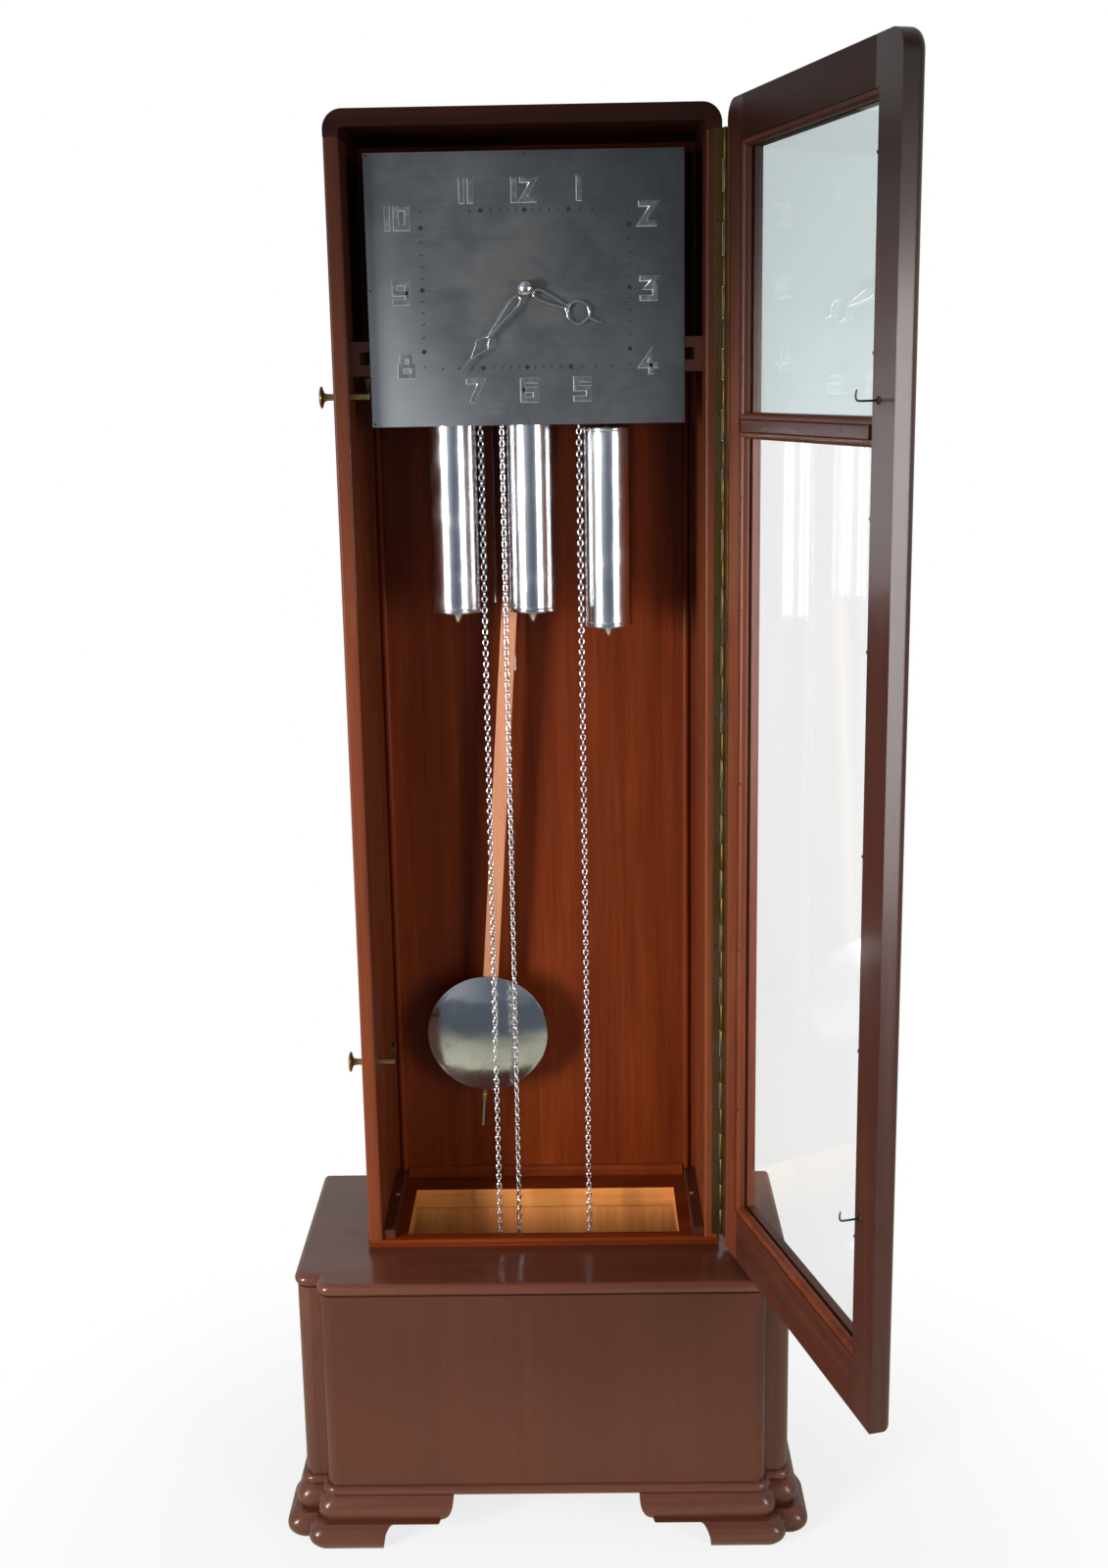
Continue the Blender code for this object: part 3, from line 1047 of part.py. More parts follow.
def build_pendulum():
    pivot = axis_frame("pendulum_axis", (0.0, PENDULUM_PLANE, PIVOT_Z), (0.0, PENDULUM_LEAN, 0.0), CLOCK)
    half = SPRING_PIN_LENGTH / 2
    pin = shaft(SPRING_PIN_RADIUS, "y", (0.0, 0.0), -half, half)
    spring = piece("suspension_spring", pin, "steel", pivot)
    leaf = SPRING_WIDTH / 2
    blade = (-SPRING_THICK / 2, SPRING_THICK / 2)
    add(spring, block(blade, (-leaf, leaf), (-SPRING_LENGTH - CHOP_HEIGHT / 2, 0.0)))
    chop = ROD_THICK / 2
    wide = (-CHOP_WIDTH / 2, CHOP_WIDTH / 2)
    add(spring, block(wide, (-chop, chop), (-SPRING_LENGTH - CHOP_HEIGHT, -SPRING_LENGTH)))
    top = -SPRING_LENGTH - CHOP_HEIGHT - FIT
    x = ROD_WIDTH / 2
    rod = piece("pendulum_rod", block((-x, x), (-chop, chop), (-ROD_LENGTH, top)), "raw_wood", pivot)
    add(rod, shaft(STUD_THREAD_RADIUS, "z", (0.0, 0.0), -STUD_END, -ROD_LENGTH + OVERCUT))
    back = -chop - FIT
    middle = (0.0, -BOB_DROP)
    edge = back - BOB_RIM
    dome = BOB_THICK - BOB_RIM
    bob = piece("pendulum_bob", turned([
        (BOB_RADIUS, back), (BOB_RADIUS, edge), (BOB_RADIUS * 0.97, edge - dome * 0.12),
        (BOB_RADIUS * 0.80, edge - dome * 0.50), (BOB_RADIUS * 0.55, edge - dome * 0.80),
        (BOB_RADIUS * 0.28, edge - dome * 0.96), (0.0, edge - dome),
    ], "y", middle, 32), "chrome", pivot, smooth=True)
    low = -BOB_DROP - BOB_RADIUS
    half = BOSS_WIDTH / 2
    add(bob, block((-half, half), (back - BOB_RIM / 2, chop), (low, low + BOSS_HEIGHT)))
    cut(bob, shaft(STUD_THREAD_RADIUS + RUN, "z", (0.0, 0.0), low - OVERCUT, low + BOSS_HEIGHT + OVERCUT))
    high = -BOB_DROP - BOB_RADIUS - FIT
    barrel = shaft(RATING_RADIUS, "z", (0.0, 0.0), high - RATING_HEIGHT, high, 16)
    nut = piece("rating_nut", barrel, "steel", pivot)
    cut(nut, shaft(STUD_THREAD_RADIUS + RUN, "z", (0.0, 0.0), high - RATING_HEIGHT - OVERCUT, high + OVERCUT))


def settle():
    """Shift everything so that the origin is the middle of the bounding box at floor level."""
    bpy.context.view_layer.update()
    graph = bpy.context.evaluated_depsgraph_get()
    spots = []
    for item in bpy.data.objects:
        if item.type != "MESH" or item.hide_render:
            continue
        shown = item.evaluated_get(graph)
        mesh = shown.to_mesh()
        spots.extend(shown.matrix_world @ v.co for v in mesh.vertices)
        shown.to_mesh_clear()
    low = [min(p[i] for p in spots) for i in range(3)]
    high = [max(p[i] for p in spots) for i in range(3)]
    CLOCK.location = (-(low[0] + high[0]) / 2, -(low[1] + high[1]) / 2, -low[2])
    bpy.context.view_layer.update()
    print("shifted by", tuple(round(v, 6) for v in CLOCK.location))


build_base()
build_trunk()
build_door()
build_latches()
build_dial()
build_hands()
build_seat()
build_movement()
build_chime()
build_weights()
build_pendulum()
settle()
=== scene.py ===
from math import cos, pi, radians, sin

import bmesh
import bpy
from mathutils import Matrix, Vector


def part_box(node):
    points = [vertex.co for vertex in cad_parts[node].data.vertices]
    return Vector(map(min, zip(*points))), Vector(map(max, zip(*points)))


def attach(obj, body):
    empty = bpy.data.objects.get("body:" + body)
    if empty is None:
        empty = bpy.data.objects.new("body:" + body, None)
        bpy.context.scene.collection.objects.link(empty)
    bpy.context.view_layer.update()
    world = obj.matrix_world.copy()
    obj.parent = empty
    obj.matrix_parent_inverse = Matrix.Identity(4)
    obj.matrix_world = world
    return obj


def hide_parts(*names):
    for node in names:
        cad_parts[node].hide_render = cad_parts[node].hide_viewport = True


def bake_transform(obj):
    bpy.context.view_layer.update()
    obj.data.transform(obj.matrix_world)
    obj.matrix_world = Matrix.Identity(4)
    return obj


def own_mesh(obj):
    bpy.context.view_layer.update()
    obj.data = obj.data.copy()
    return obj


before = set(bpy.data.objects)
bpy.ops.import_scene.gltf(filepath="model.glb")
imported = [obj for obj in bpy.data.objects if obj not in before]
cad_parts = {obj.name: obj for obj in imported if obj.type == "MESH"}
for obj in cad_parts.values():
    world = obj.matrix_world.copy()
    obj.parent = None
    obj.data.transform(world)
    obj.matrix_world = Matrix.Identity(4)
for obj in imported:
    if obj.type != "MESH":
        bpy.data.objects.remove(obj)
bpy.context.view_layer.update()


def take(settings, words):
    return [settings[word] for word in words.split()]


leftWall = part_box("trunk_left_side")
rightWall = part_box("trunk_right_side")

# clock coordinates: x = 0 middle of the trunk, y = 0 its front edge, z = 0 the floor
clockFrame = Matrix.Translation(((leftWall[0].x + rightWall[1].x) / 2, leftWall[0].y, 0.0))
hang = {"pinX": 0.2435, "pinY": -0.0016, "open": radians(105.27), "pendulumY": 0.16,
        "pendulumZ": 1.7001, "lean": radians(4.16), "arborZ": 1.6541, "dialY": 0.045,
        "minute": radians(219.6), "hour": radians(114.6), "drop": 1.08}
pinFrame = clockFrame @ Matrix.Translation((hang["pinX"], hang["pinY"], 0.0))
doorFrame = pinFrame @ Matrix.Rotation(hang["open"], 4, "Z")
pendulumFrame = (clockFrame @ Matrix.Translation((0.0, hang["pendulumY"], hang["pendulumZ"]))
                 @ Matrix.Rotation(hang["lean"], 4, "Y"))
arborFrame = clockFrame @ Matrix.Translation((0.0, 0.0, hang["arborZ"]))
minuteFrame = arborFrame @ Matrix.Rotation(hang["minute"], 4, "Y")
hourFrame = arborFrame @ Matrix.Rotation(hang["hour"], 4, "Y")


class Wire:  # a socket that can be used in sums
    def __init__(self, bench, socket):
        self.bench = bench
        self.socket = socket

    def sum(self, operation, first, second):
        return self.bench.node("ShaderNodeMath", {0: first, 1: second}, operation=operation)

    def __add__(self, other):
        return self.sum("ADD", self, other)

    def __radd__(self, other):
        return self.sum("ADD", other, self)

    def __sub__(self, other):
        return self.sum("SUBTRACT", self, other)

    def __rsub__(self, other):
        return self.sum("SUBTRACT", other, self)

    def __mul__(self, other):
        return self.sum("MULTIPLY", self, other)

    def __pow__(self, other):
        return self.sum("POWER", self, other)

    def __mod__(self, other):
        return self.sum("MODULO", self, other)

    def largest(self, other):
        return self.sum("MAXIMUM", self, other)

    def other(self, key):
        return Wire(self.bench, self.socket.node.outputs[key])

    def between(self, low, high):  # 0 at low, 1 at high, smooth between
        return self.bench.node("ShaderNodeMapRange", {"Value": self, "From Min": low, "From Max": high},
                               interpolation_type="SMOOTHSTEP")


class Bench:  # a node tree that nodes are laid on
    def __init__(self, tree):
        self.tree = tree

    def node(self, kind, sockets=None, out=0, **settings):
        made = self.tree.nodes.new(kind)
        for name, value in settings.items():
            setattr(made, name, value)
        for key, value in (sockets or {}).items():
            if isinstance(value, Wire):
                self.tree.links.new(value.socket, made.inputs[key])
            else:
                made.inputs[key].default_value = value
        return Wire(self, made.outputs[out]) if made.outputs else None

    def ramp(self, amount, places, tones):
        colour = self.node("ShaderNodeValToRGB", {"Fac": amount})
        stops = colour.socket.node.color_ramp.elements
        while len(stops) < len(tones):
            stops.new(1.0)
        for stop, place, tone in zip(stops, places, tones):
            stop.position = place
            stop.color = (*tone, 1.0)
        return colour

    def tint(self, amount, first, second):
        ends = [c if isinstance(c, Wire) else (*c, 1.0) for c in (first, second)]
        return self.node("ShaderNodeMix", {0: amount, 6: ends[0], 7: ends[1]}, 2, data_type="RGBA")

    def place(self, size=(1.0, 1.0, 1.0), turn=(0.0, 0.0, 0.0), start=(0.0, 0.0, 0.0)):
        spot = self.node("ShaderNodeTexCoord", None, "Object")
        sockets = {"Vector": spot, "Location": start, "Rotation": turn, "Scale": size}
        return self.node("ShaderNodeMapping", sockets, vector_type="TEXTURE")

    def noise(self, spot, detail=2.0, rough=0.5, bend=0.0):
        return self.node("ShaderNodeTexNoise", {"Vector": spot, "Scale": 1.0, "Detail": detail,
                                                "Roughness": rough, "Distortion": bend})

    def part(self, spot, axis):
        return self.node("ShaderNodeSeparateXYZ", {0: spot}, axis)

    def length(self, spot):
        return self.node("ShaderNodeVectorMath", {0: spot}, "Value", operation="LENGTH")

    def bump(self, height, strength, depth, under=None):
        sockets = {"Height": height, "Strength": strength, "Distance": depth}
        if under:
            sockets["Normal"] = under
        return self.node("ShaderNodeBump", sockets)


def newFinish(name):
    finish = bpy.data.materials.new(name)
    finish.use_nodes = True
    finish.node_tree.nodes.clear()
    return finish, Bench(finish.node_tree)


def lay(bench, sockets):
    shader = bench.node("ShaderNodeBsdfPrincipled", sockets)
    bench.node("ShaderNodeOutputMaterial", {"Surface": shader})


# grain runs along the pattern's own z; turn sets where that points
upright = (0.0, 0.0, 0.0)
crosswise = (0.0, pi / 2, 0.0)
endwise = (-pi / 2, 0.0, 0.0)
alongDoor = (0.0, pi / 2, hang["open"])
grain = {"figure": ((0.05, 0.05, 0.8), (0.0, 0.0, 0.0)), "streak": ((0.0065, 0.0065, 0.22), (0.3, 0.1, 0.2)),
         "pores": ((0.001, 0.001, 0.022), (0.7, 0.4, 0.1)), "scuff": ((0.09, 0.09, 0.14), (0.2, 0.9, 0.5))}
plainLook = {"places": (0.3, 0.5, 0.7), "pores": 0.4, "dust": 0.1, "coatRough": 0.18}


def woodFinish(name, look, turn=upright):
    look = {**plainLook, **look}
    finish, bench = newFinish(name)
    spots = {word: bench.place(size, turn, start) for word, (size, start) in grain.items()}
    figure = bench.noise(spots["figure"], 3.0, 0.55, 0.7)
    streak = bench.noise(spots["streak"], 3.0, 0.6, 0.3)
    pores = bench.noise(spots["pores"], 2.0, 0.5)
    scuff = bench.noise(spots["scuff"], 4.0, 0.65)
    wood = bench.ramp(figure * 0.62 + streak * 0.38, look["places"], look["tones"])
    fleck = pores.between(0.56, 0.72)
    dust = scuff.between(0.58, 0.8)
    colour = bench.tint(fleck * look["pores"], wood, look["dark"])
    colour = bench.tint(dust * look["dust"], colour, look["pale"])
    coat = look["coat"] - dust * (look["coat"] * 0.5) if look["coat"] else 0.0
    if "paintedShadeBand" in look:  # painted shade: darker above the second height, fully so from the first, with the coat thinned by the same share
        high, low, amount = look["paintedShadeBand"]
        height = bench.part(bench.place(), "Z")
        shade = (1.0 - (height + scuff * 0.06).between(high, low)) * amount
        colour = bench.tint(shade, colour, look["dark"])
        coat = coat * (1.0 - shade)
    lay(bench, {
        "Base Color": colour,
        "Roughness": look["rough"] + (streak - 0.5) * 0.1 + dust * 0.14,
        "Coat Weight": coat,
        "Coat Roughness": look["coatRough"],
        "Specular IOR Level": look["shine"],
        "Normal": bench.bump(fleck * -1.0 + streak * 0.4, 0.1, 0.0004),
    })
    return finish


mahogany = {
    "case": {"tones": [(0.04, 0.0095, 0.0056), (0.062, 0.0152, 0.0082), (0.09, 0.0225, 0.011)],
             "dark": (0.018, 0.006, 0.0045), "pale": (0.12, 0.042, 0.027),
             "rough": 0.4, "coat": 0.22, "shine": 0.24},
    "inside": {"tones": [(0.082, 0.0114, 0.0018), (0.134, 0.0205, 0.0032), (0.202, 0.035, 0.0055)],
               "dark": (0.04, 0.008, 0.003), "pale": (0.24, 0.07, 0.02), "places": (0.28, 0.5, 0.72),
               "pores": 0.28, "dust": 0.05, "rough": 0.4, "coat": 0.06, "coatRough": 0.2, "shine": 0.12},
    "edge": {"tones": [(0.092, 0.018, 0.0055), (0.148, 0.0315, 0.009), (0.215, 0.054, 0.0165)],
             "dark": (0.04, 0.01, 0.005), "pale": (0.27, 0.095, 0.04), "places": (0.3, 0.52, 0.72),
             "dust": 0.12, "rough": 0.38, "coat": 0.16, "shine": 0.22, "paintedShadeBand": (1.75, 1.25, 0.76)},
    # stile: a lighter copy of the case wood, painted light on the hinge stile; its band paints shade at the
    # top
    "stile": {"tones": [(0.108, 0.0236, 0.0109), (0.172, 0.0402, 0.0172), (0.247, 0.0621, 0.0253)],
              "dark": (0.022, 0.007, 0.0045), "pale": (0.24, 0.08, 0.042),
              "rough": 0.38, "coat": 0.2, "shine": 0.22, "paintedShadeBand": (1.82, 1.45, 0.88)},
    "lock": {"tones": [(0.038, 0.01, 0.0066), (0.058, 0.0158, 0.0098), (0.084, 0.0232, 0.0135)],
             "dark": (0.018, 0.006, 0.0045), "pale": (0.12, 0.046, 0.032), "dust": 0.12,
             "rough": 0.36, "coat": 0.42, "shine": 0.36, "paintedShadeBand": (1.84, 1.62, 0.8)},
    # crest: a darker copy of the case wood, painted shade on the pieces at the top
    "crest": {"tones": [(0.02, 0.0062, 0.0046), (0.03, 0.0092, 0.0062), (0.044, 0.013, 0.008)],
              "dark": (0.01, 0.004, 0.0035), "pale": (0.08, 0.03, 0.022),
              "rough": 0.44, "coat": 0.05, "coatRough": 0.22, "shine": 0.07},
    "base": {"tones": [(0.062, 0.0175, 0.0098), (0.092, 0.0265, 0.0145), (0.13, 0.0385, 0.021)],
             "dark": (0.026, 0.009, 0.006), "pale": (0.16, 0.066, 0.044), "places": (0.28, 0.5, 0.72),
             "pores": 0.38, "dust": 0.12, "rough": 0.34, "coat": 0.4, "coatRough": 0.14, "shine": 0.3},
    "front": {"tones": [(0.068, 0.018, 0.0086), (0.08, 0.0214, 0.0102), (0.094, 0.0256, 0.0124)],
              "dark": (0.035, 0.0105, 0.007), "pale": (0.16, 0.066, 0.044), "places": (0.25, 0.5, 0.75),
              "pores": 0.22, "rough": 0.36, "coat": 0.5, "coatRough": 0.11, "shine": 0.2,
              "paintedShadeBand": (0.335, 0.15, 0.36)},
    "shelf": {"tones": [(0.062, 0.0165, 0.0088), (0.094, 0.0258, 0.0132), (0.132, 0.0375, 0.019)],
              "dark": (0.026, 0.009, 0.006), "pale": (0.16, 0.066, 0.044), "places": (0.28, 0.5, 0.72),
              "pores": 0.38, "dust": 0.12, "rough": 0.34, "coat": 0.55, "coatRough": 0.06, "shine": 0.26},
    "raw": {"tones": [(0.48, 0.16, 0.034), (0.64, 0.235, 0.056), (0.72, 0.3, 0.088)],
            "dark": (0.2, 0.07, 0.022), "pale": (0.6, 0.33, 0.15), "places": (0.28, 0.5, 0.72),
            "pores": 0.3, "dust": 0.15, "rough": 0.62, "coat": 0.0, "coatRough": 0.5, "shine": 0.25},
    "rod": {"tones": [(0.42, 0.16, 0.078), (0.55, 0.23, 0.12), (0.64, 0.29, 0.16)],
            "dark": (0.2, 0.06, 0.028), "pale": (0.62, 0.33, 0.19), "places": (0.28, 0.5, 0.72),
            "pores": 0.35, "dust": 0.12, "rough": 0.45, "coat": 0.12, "coatRough": 0.3, "shine": 0.3},
}
cuts = {  # finish name, look, grain
    "caseEnd": ("mahogany_case_end", "case", endwise),
    "caseCrestShaded": ("mahogany_case_crest_shaded", "crest", crosswise),
    "insideUpright": ("mahogany_inside_upright", "inside", upright),
    "insideCross": ("mahogany_inside_cross", "inside", crosswise),
    "edgeUpright": ("mahogany_edge_upright", "edge", upright),
    "doorBead": ("mahogany_bead", "edge", upright),
    "doorCross": ("mahogany_door_cross", "case", alongDoor),
    "doorStileLit": ("mahogany_door_stile_lit", "stile", upright),
    "doorLock": ("mahogany_lock_stile", "lock", upright),
    "doorCrestShaded": ("mahogany_door_crest_shaded", "crest", alongDoor),
    "baseUpright": ("mahogany_base_upright", "base", upright),
    "baseCross": ("mahogany_base_cross", "base", crosswise),
    "baseFront": ("mahogany_base_front", "front", upright),
    "baseShelf": ("mahogany_base_shelf", "shelf", crosswise),
    "rawUpright": ("raw_wood_upright", "raw", upright),
    "rawCross": ("raw_wood_cross", "raw", crosswise),
    "rod": ("pendulum_rod_wood", "rod", upright),
}
woods = {key: woodFinish(name, mahogany[look], turn) for key, (name, look, turn) in cuts.items()}


def metalFinish(name, look):
    finish, bench = newFinish(name)
    across, along = look["brush"]
    brush = bench.noise(bench.place((across, across, along)), 2.0, 0.6)
    cloud = bench.noise(bench.place((look["cloud"],) * 3, start=(0.31, 0.17, 0.43)), 4.0, 0.62)
    spots = bench.noise(bench.place((0.0032,) * 3, start=(0.11, 0.52, 0.23)), 2.0, 0.5)
    tarnish = cloud.between(0.46, 0.74)
    stained = tarnish * look["tarnish"] + spots.between(0.62, 0.76) * look["specks"]
    under = None
    if "wave" in look:  # plate that isn't quite even
        size, strength = look["wave"]
        under = bench.bump(bench.noise(bench.place((size,) * 3), 1.0, 0.4), strength, 0.004)
    lay(bench, {
        "Base Color": bench.tint(stained, look["bright"], look["dull"]),
        "Metallic": 1.0 - tarnish * look["grime"],
        "Roughness": look["rough"] + (brush - 0.5) * look["grain"] + tarnish * look["haze"],
        "Normal": bench.bump(brush, look["grain"] * 0.25, 0.0002, under),
    })
    return finish


metals = {
    "chrome": metalFinish("polished_chrome", {
        "brush": (0.004, 0.09), "cloud": 0.06, "tarnish": 0.22, "specks": 0.1, "grime": 0.04, "rough": 0.17,
        "bright": (0.8, 0.81, 0.83), "dull": (0.5, 0.5, 0.5), "grain": 0.06, "haze": 0.1}),
    "handChrome": metalFinish("hand_chrome", {
        "brush": (0.003, 0.003), "cloud": 0.02, "tarnish": 0.3, "specks": 0.15, "grime": 0.08, "rough": 0.12,
        "bright": (0.62, 0.63, 0.65), "dull": (0.26, 0.26, 0.27), "grain": 0.08, "haze": 0.15}),
    "chain": metalFinish("chain_steel", {
        "brush": (0.003, 0.01), "cloud": 0.05, "tarnish": 0.3, "specks": 0.2, "grime": 0.08, "rough": 0.17,
        "bright": (0.82, 0.83, 0.84), "dull": (0.48, 0.47, 0.45), "grain": 0.1, "haze": 0.12}),
    "steel": metalFinish("grey_steel", {
        "brush": (0.003, 0.03), "cloud": 0.03, "tarnish": 0.55, "specks": 0.35, "grime": 0.2, "rough": 0.32,
        "bright": (0.36, 0.36, 0.37), "dull": (0.14, 0.13, 0.125), "grain": 0.15, "haze": 0.2}),
    "brass": metalFinish("aged_brass", {
        "brush": (0.003, 0.02), "cloud": 0.025, "tarnish": 0.65, "specks": 0.4, "grime": 0.25, "rough": 0.3,
        "bright": (0.42, 0.29, 0.11), "dull": (0.15, 0.09, 0.035), "grain": 0.14, "haze": 0.22}),
    "hingeBrass": metalFinish("hinge_brass", {
        "brush": (0.004, 0.04), "cloud": 0.06, "tarnish": 0.8, "specks": 0.6, "grime": 0.45, "rough": 0.48,
        "bright": (0.12, 0.074, 0.025), "dull": (0.034, 0.021, 0.01), "grain": 0.16, "haze": 0.22}),
    "bob": metalFinish("bob_chrome", {
        "brush": (0.0035, 0.0035), "cloud": 0.05, "tarnish": 0.35, "specks": 0.25, "grime": 0.06,
        "rough": 0.12, "bright": (0.66, 0.67, 0.66), "dull": (0.46, 0.45, 0.38), "grain": 0.14,
        "haze": 0.12, "wave": (0.04, 0.22)}),
    "brassBright": metalFinish("bright_brass", {
        "brush": (0.003, 0.003), "cloud": 0.01, "tarnish": 0.4, "specks": 0.3, "grime": 0.15, "rough": 0.25,
        "bright": (0.6, 0.4, 0.13), "dull": (0.25, 0.15, 0.05), "grain": 0.08, "haze": 0.15}),
    "screwDark": metalFinish("dark_screw_steel", {
        "brush": (0.002, 0.002), "cloud": 0.01, "tarnish": 0.6, "specks": 0.4, "grime": 0.4, "rough": 0.4,
        "bright": (0.08, 0.06, 0.045), "dull": (0.025, 0.02, 0.016), "grain": 0.1, "haze": 0.2}),
}


# looks of the dial's sheet and of its raised numerals; the sheet's dull and bright colours are painted shade
# and painted light, the numerals' flank colour a painted highlight
sheet = {"middle": 0.012, "brush": (0.1, 0.01, 0.0008), "cloud": (0.055, 0.2, 0.045),
         "cloudStart": (0.2, 0.1, 0.6), "spots": (0.006, 0.02, 0.005), "spotsStart": (0.5, 0.3, 0.2),
         "reach": (0.135, 1.0, 0.115), "places": (0.28, 0.5, 0.72),
         "tones": [(0.119, 0.125, 0.131), (0.162, 0.17, 0.178), (0.22, 0.231, 0.241)],
         "stain": (0.118, 0.1, 0.08), "speck": (0.33, 0.34, 0.35), "dull": (0.05, 0.051, 0.053),
         "bright": (0.48, 0.5, 0.52)}
raised = {"plain": (0.2, 0.21, 0.22), "worn": (0.34, 0.35, 0.36), "flankHighlight": (0.9, 0.92, 0.94),
          "slope": (0.0014, 0.0007)}


def dialFinish(name):
    finish, bench = newFinish(name)
    middle = clockFrame @ Vector((0.0, hang["dialY"], hang["arborZ"] + sheet["middle"]))
    brush = bench.noise(bench.place(sheet["brush"]), 2.0, 0.6)
    cloud = bench.noise(bench.place(sheet["cloud"], start=sheet["cloudStart"]), 4.0, 0.6, 0.4)
    spots = bench.noise(bench.place(sheet["spots"], start=sheet["spotsStart"]), 3.0, 0.6)
    reach = bench.length(bench.place(sheet["reach"], start=middle))
    stain = (1.0 - reach.between(0.1, 0.95)) * cloud.between(0.36, 0.6)
    grey = bench.ramp(cloud * 0.7 + brush * 0.3, sheet["places"], sheet["tones"])
    colour = bench.tint(stain * 0.55, grey, sheet["stain"])
    colour = bench.tint(spots.between(0.66, 0.8) * 0.3, colour, sheet["speck"])
    across = bench.part(bench.place(start=middle), "X")
    paintedLightSlant = across + across.other("Z") * 0.5  # painted shade to the upper right, painted light to the lower left
    colour = bench.tint(paintedLightSlant.between(-0.02, 0.24) * 0.62, colour, sheet["dull"])
    lay(bench, {
        "Base Color": bench.tint(paintedLightSlant.between(-0.11, -0.26) * 0.7, colour, sheet["bright"]),
        "Metallic": 0.86 - stain * 0.25,
        "Roughness": 0.42 + (brush - 0.5) * 0.12 + stain * 0.1,
        "Normal": bench.bump(brush, 0.05, 0.0003),
    })
    return finish


def numeralFinish(name):
    finish, bench = newFinish(name)
    worn = bench.noise(bench.place((0.012, 0.02, 0.012)), 3.0, 0.6).between(0.4, 0.7)
    face = (clockFrame @ Vector((0.0, hang["dialY"], 0.0))).y
    crown, foot = raised["slope"]
    flankHighlight = bench.part(bench.place(), "Y").between(face - crown, face - foot)  # 1 on the slopes, 0 on top; the slopes get a painted highlight
    plain = bench.tint(worn, raised["plain"], raised["worn"])
    lay(bench, {
        "Base Color": bench.tint(flankHighlight * 0.9, plain, raised["flankHighlight"]),
        "Metallic": 0.9 - worn * 0.1,
        "Roughness": 0.4 - worn * 0.06,
    })
    return finish


def enamelFinish(name, ink, rubbed):
    finish, bench = newFinish(name)
    cloud = bench.noise(bench.place((0.004, 0.004, 0.004)), 3.0, 0.6)
    lay(bench, {
        "Base Color": bench.tint(cloud.between(0.45, 0.75) * 0.5, ink, rubbed),
        "Roughness": 0.45 + (cloud - 0.5) * 0.2,
    })
    return finish


def glassFinish(name, tint, rim):
    finish, bench = newFinish(name)
    facing = bench.node("ShaderNodeLayerWeight", {"Blend": 0.5}, "Facing")
    smear = bench.noise(bench.place((0.12, 0.12, 0.3)), 4.0, 0.6)
    clear = bench.node("ShaderNodeBsdfTransparent", {"Color": (*tint, 1.0)})
    mirror = bench.node("ShaderNodeBsdfGlossy", {"Color": (0.97, 1.0, 0.99, 1.0), "Roughness": 0.015})
    shine = facing ** 5.0 * rim + 0.03 + smear.between(0.5, 0.85) * 0.02
    pane = bench.node("ShaderNodeMixShader", {0: shine, 1: clear, 2: mirror})
    bench.node("ShaderNodeOutputMaterial", {"Surface": pane})
    return finish


metals["dial"] = dialFinish("brushed_dial_metal")
metals["numeral"] = numeralFinish("raised_numeral_metal")
inks = {"mark": enamelFinish("black_mark_enamel", (0.012, 0.012, 0.013), (0.05, 0.05, 0.055)),
        "nail": enamelFinish("rusty_nail", (0.055, 0.03, 0.018), (0.12, 0.07, 0.04))}
# the upper pane's tint, darker than the lower pane's, is painted shade
panes = {"door_glass_upper": glassFinish("upper_pane", (0.8, 0.85, 0.852), 1.0),
         "door_glass_lower": glassFinish("lower_pane", (0.985, 0.995, 0.99), 0.5)}
print("finishes:", len(woods) + len(metals) + len(inks) + len(panes))


# shapes
sides = (("left", -1), ("right", 1))


def quarter(steps):
    return [pi / 2 * k / steps for k in range(steps + 1)]


def halfTurn(steps):
    return [pi * k / steps for k in range(steps + 1)]


def span(half):
    return (-half, half)


def onSide(sign, near, far):
    return sorted((sign * near, sign * far))


def rounded(points, steps=8):  # outline through square corners given as u, v and radius
    outline = []
    for i, (u, v, radius) in enumerate(points):
        here = Vector((u, v))
        if radius == 0.0:
            outline.append(here)
            continue
        back = (Vector(points[i - 1][:2]) - here).normalized()
        ahead = (Vector(points[(i + 1) % len(points)][:2]) - here).normalized()
        middle = here + (back + ahead) * radius
        for angle in quarter(steps):
            outline.append(middle - ahead * radius * cos(angle) - back * radius * sin(angle))
    return outline


def spotOn(axis, across, along):
    u, v = across
    return {"x": (along, u, v), "y": (u, along, v), "z": (u, v, along)}[axis]


def skinRows(shape, rows, closed=False):
    pairs = list(zip(rows, rows[1:]))
    if closed:
        pairs.append((rows[-1], rows[0]))
    for low, high in pairs:
        steps = max(len(low), len(high))
        for i in range(steps):
            j = (i + 1) % steps
            if len(low) == 1:
                shape.faces.new((low[0], high[j], high[i]))
            elif len(high) == 1:
                shape.faces.new((low[i], low[j], high[0]))
            else:
                shape.faces.new((low[i], low[j], high[j], high[i]))
    return shape


def capEnds(shape, rows):
    for row in (rows[0], rows[-1]):
        if len(row) > 1:
            shape.faces.new(row)
    return shape


def loft(rings, axis):
    shape = bmesh.new()
    rows = [[shape.verts.new(spotOn(axis, p, along)) for p in outline] for outline, along in rings]
    return capEnds(skinRows(shape, rows), rows)


def prism(outline, axis, low, high):
    return loft([(outline, low), (outline, high)], axis)


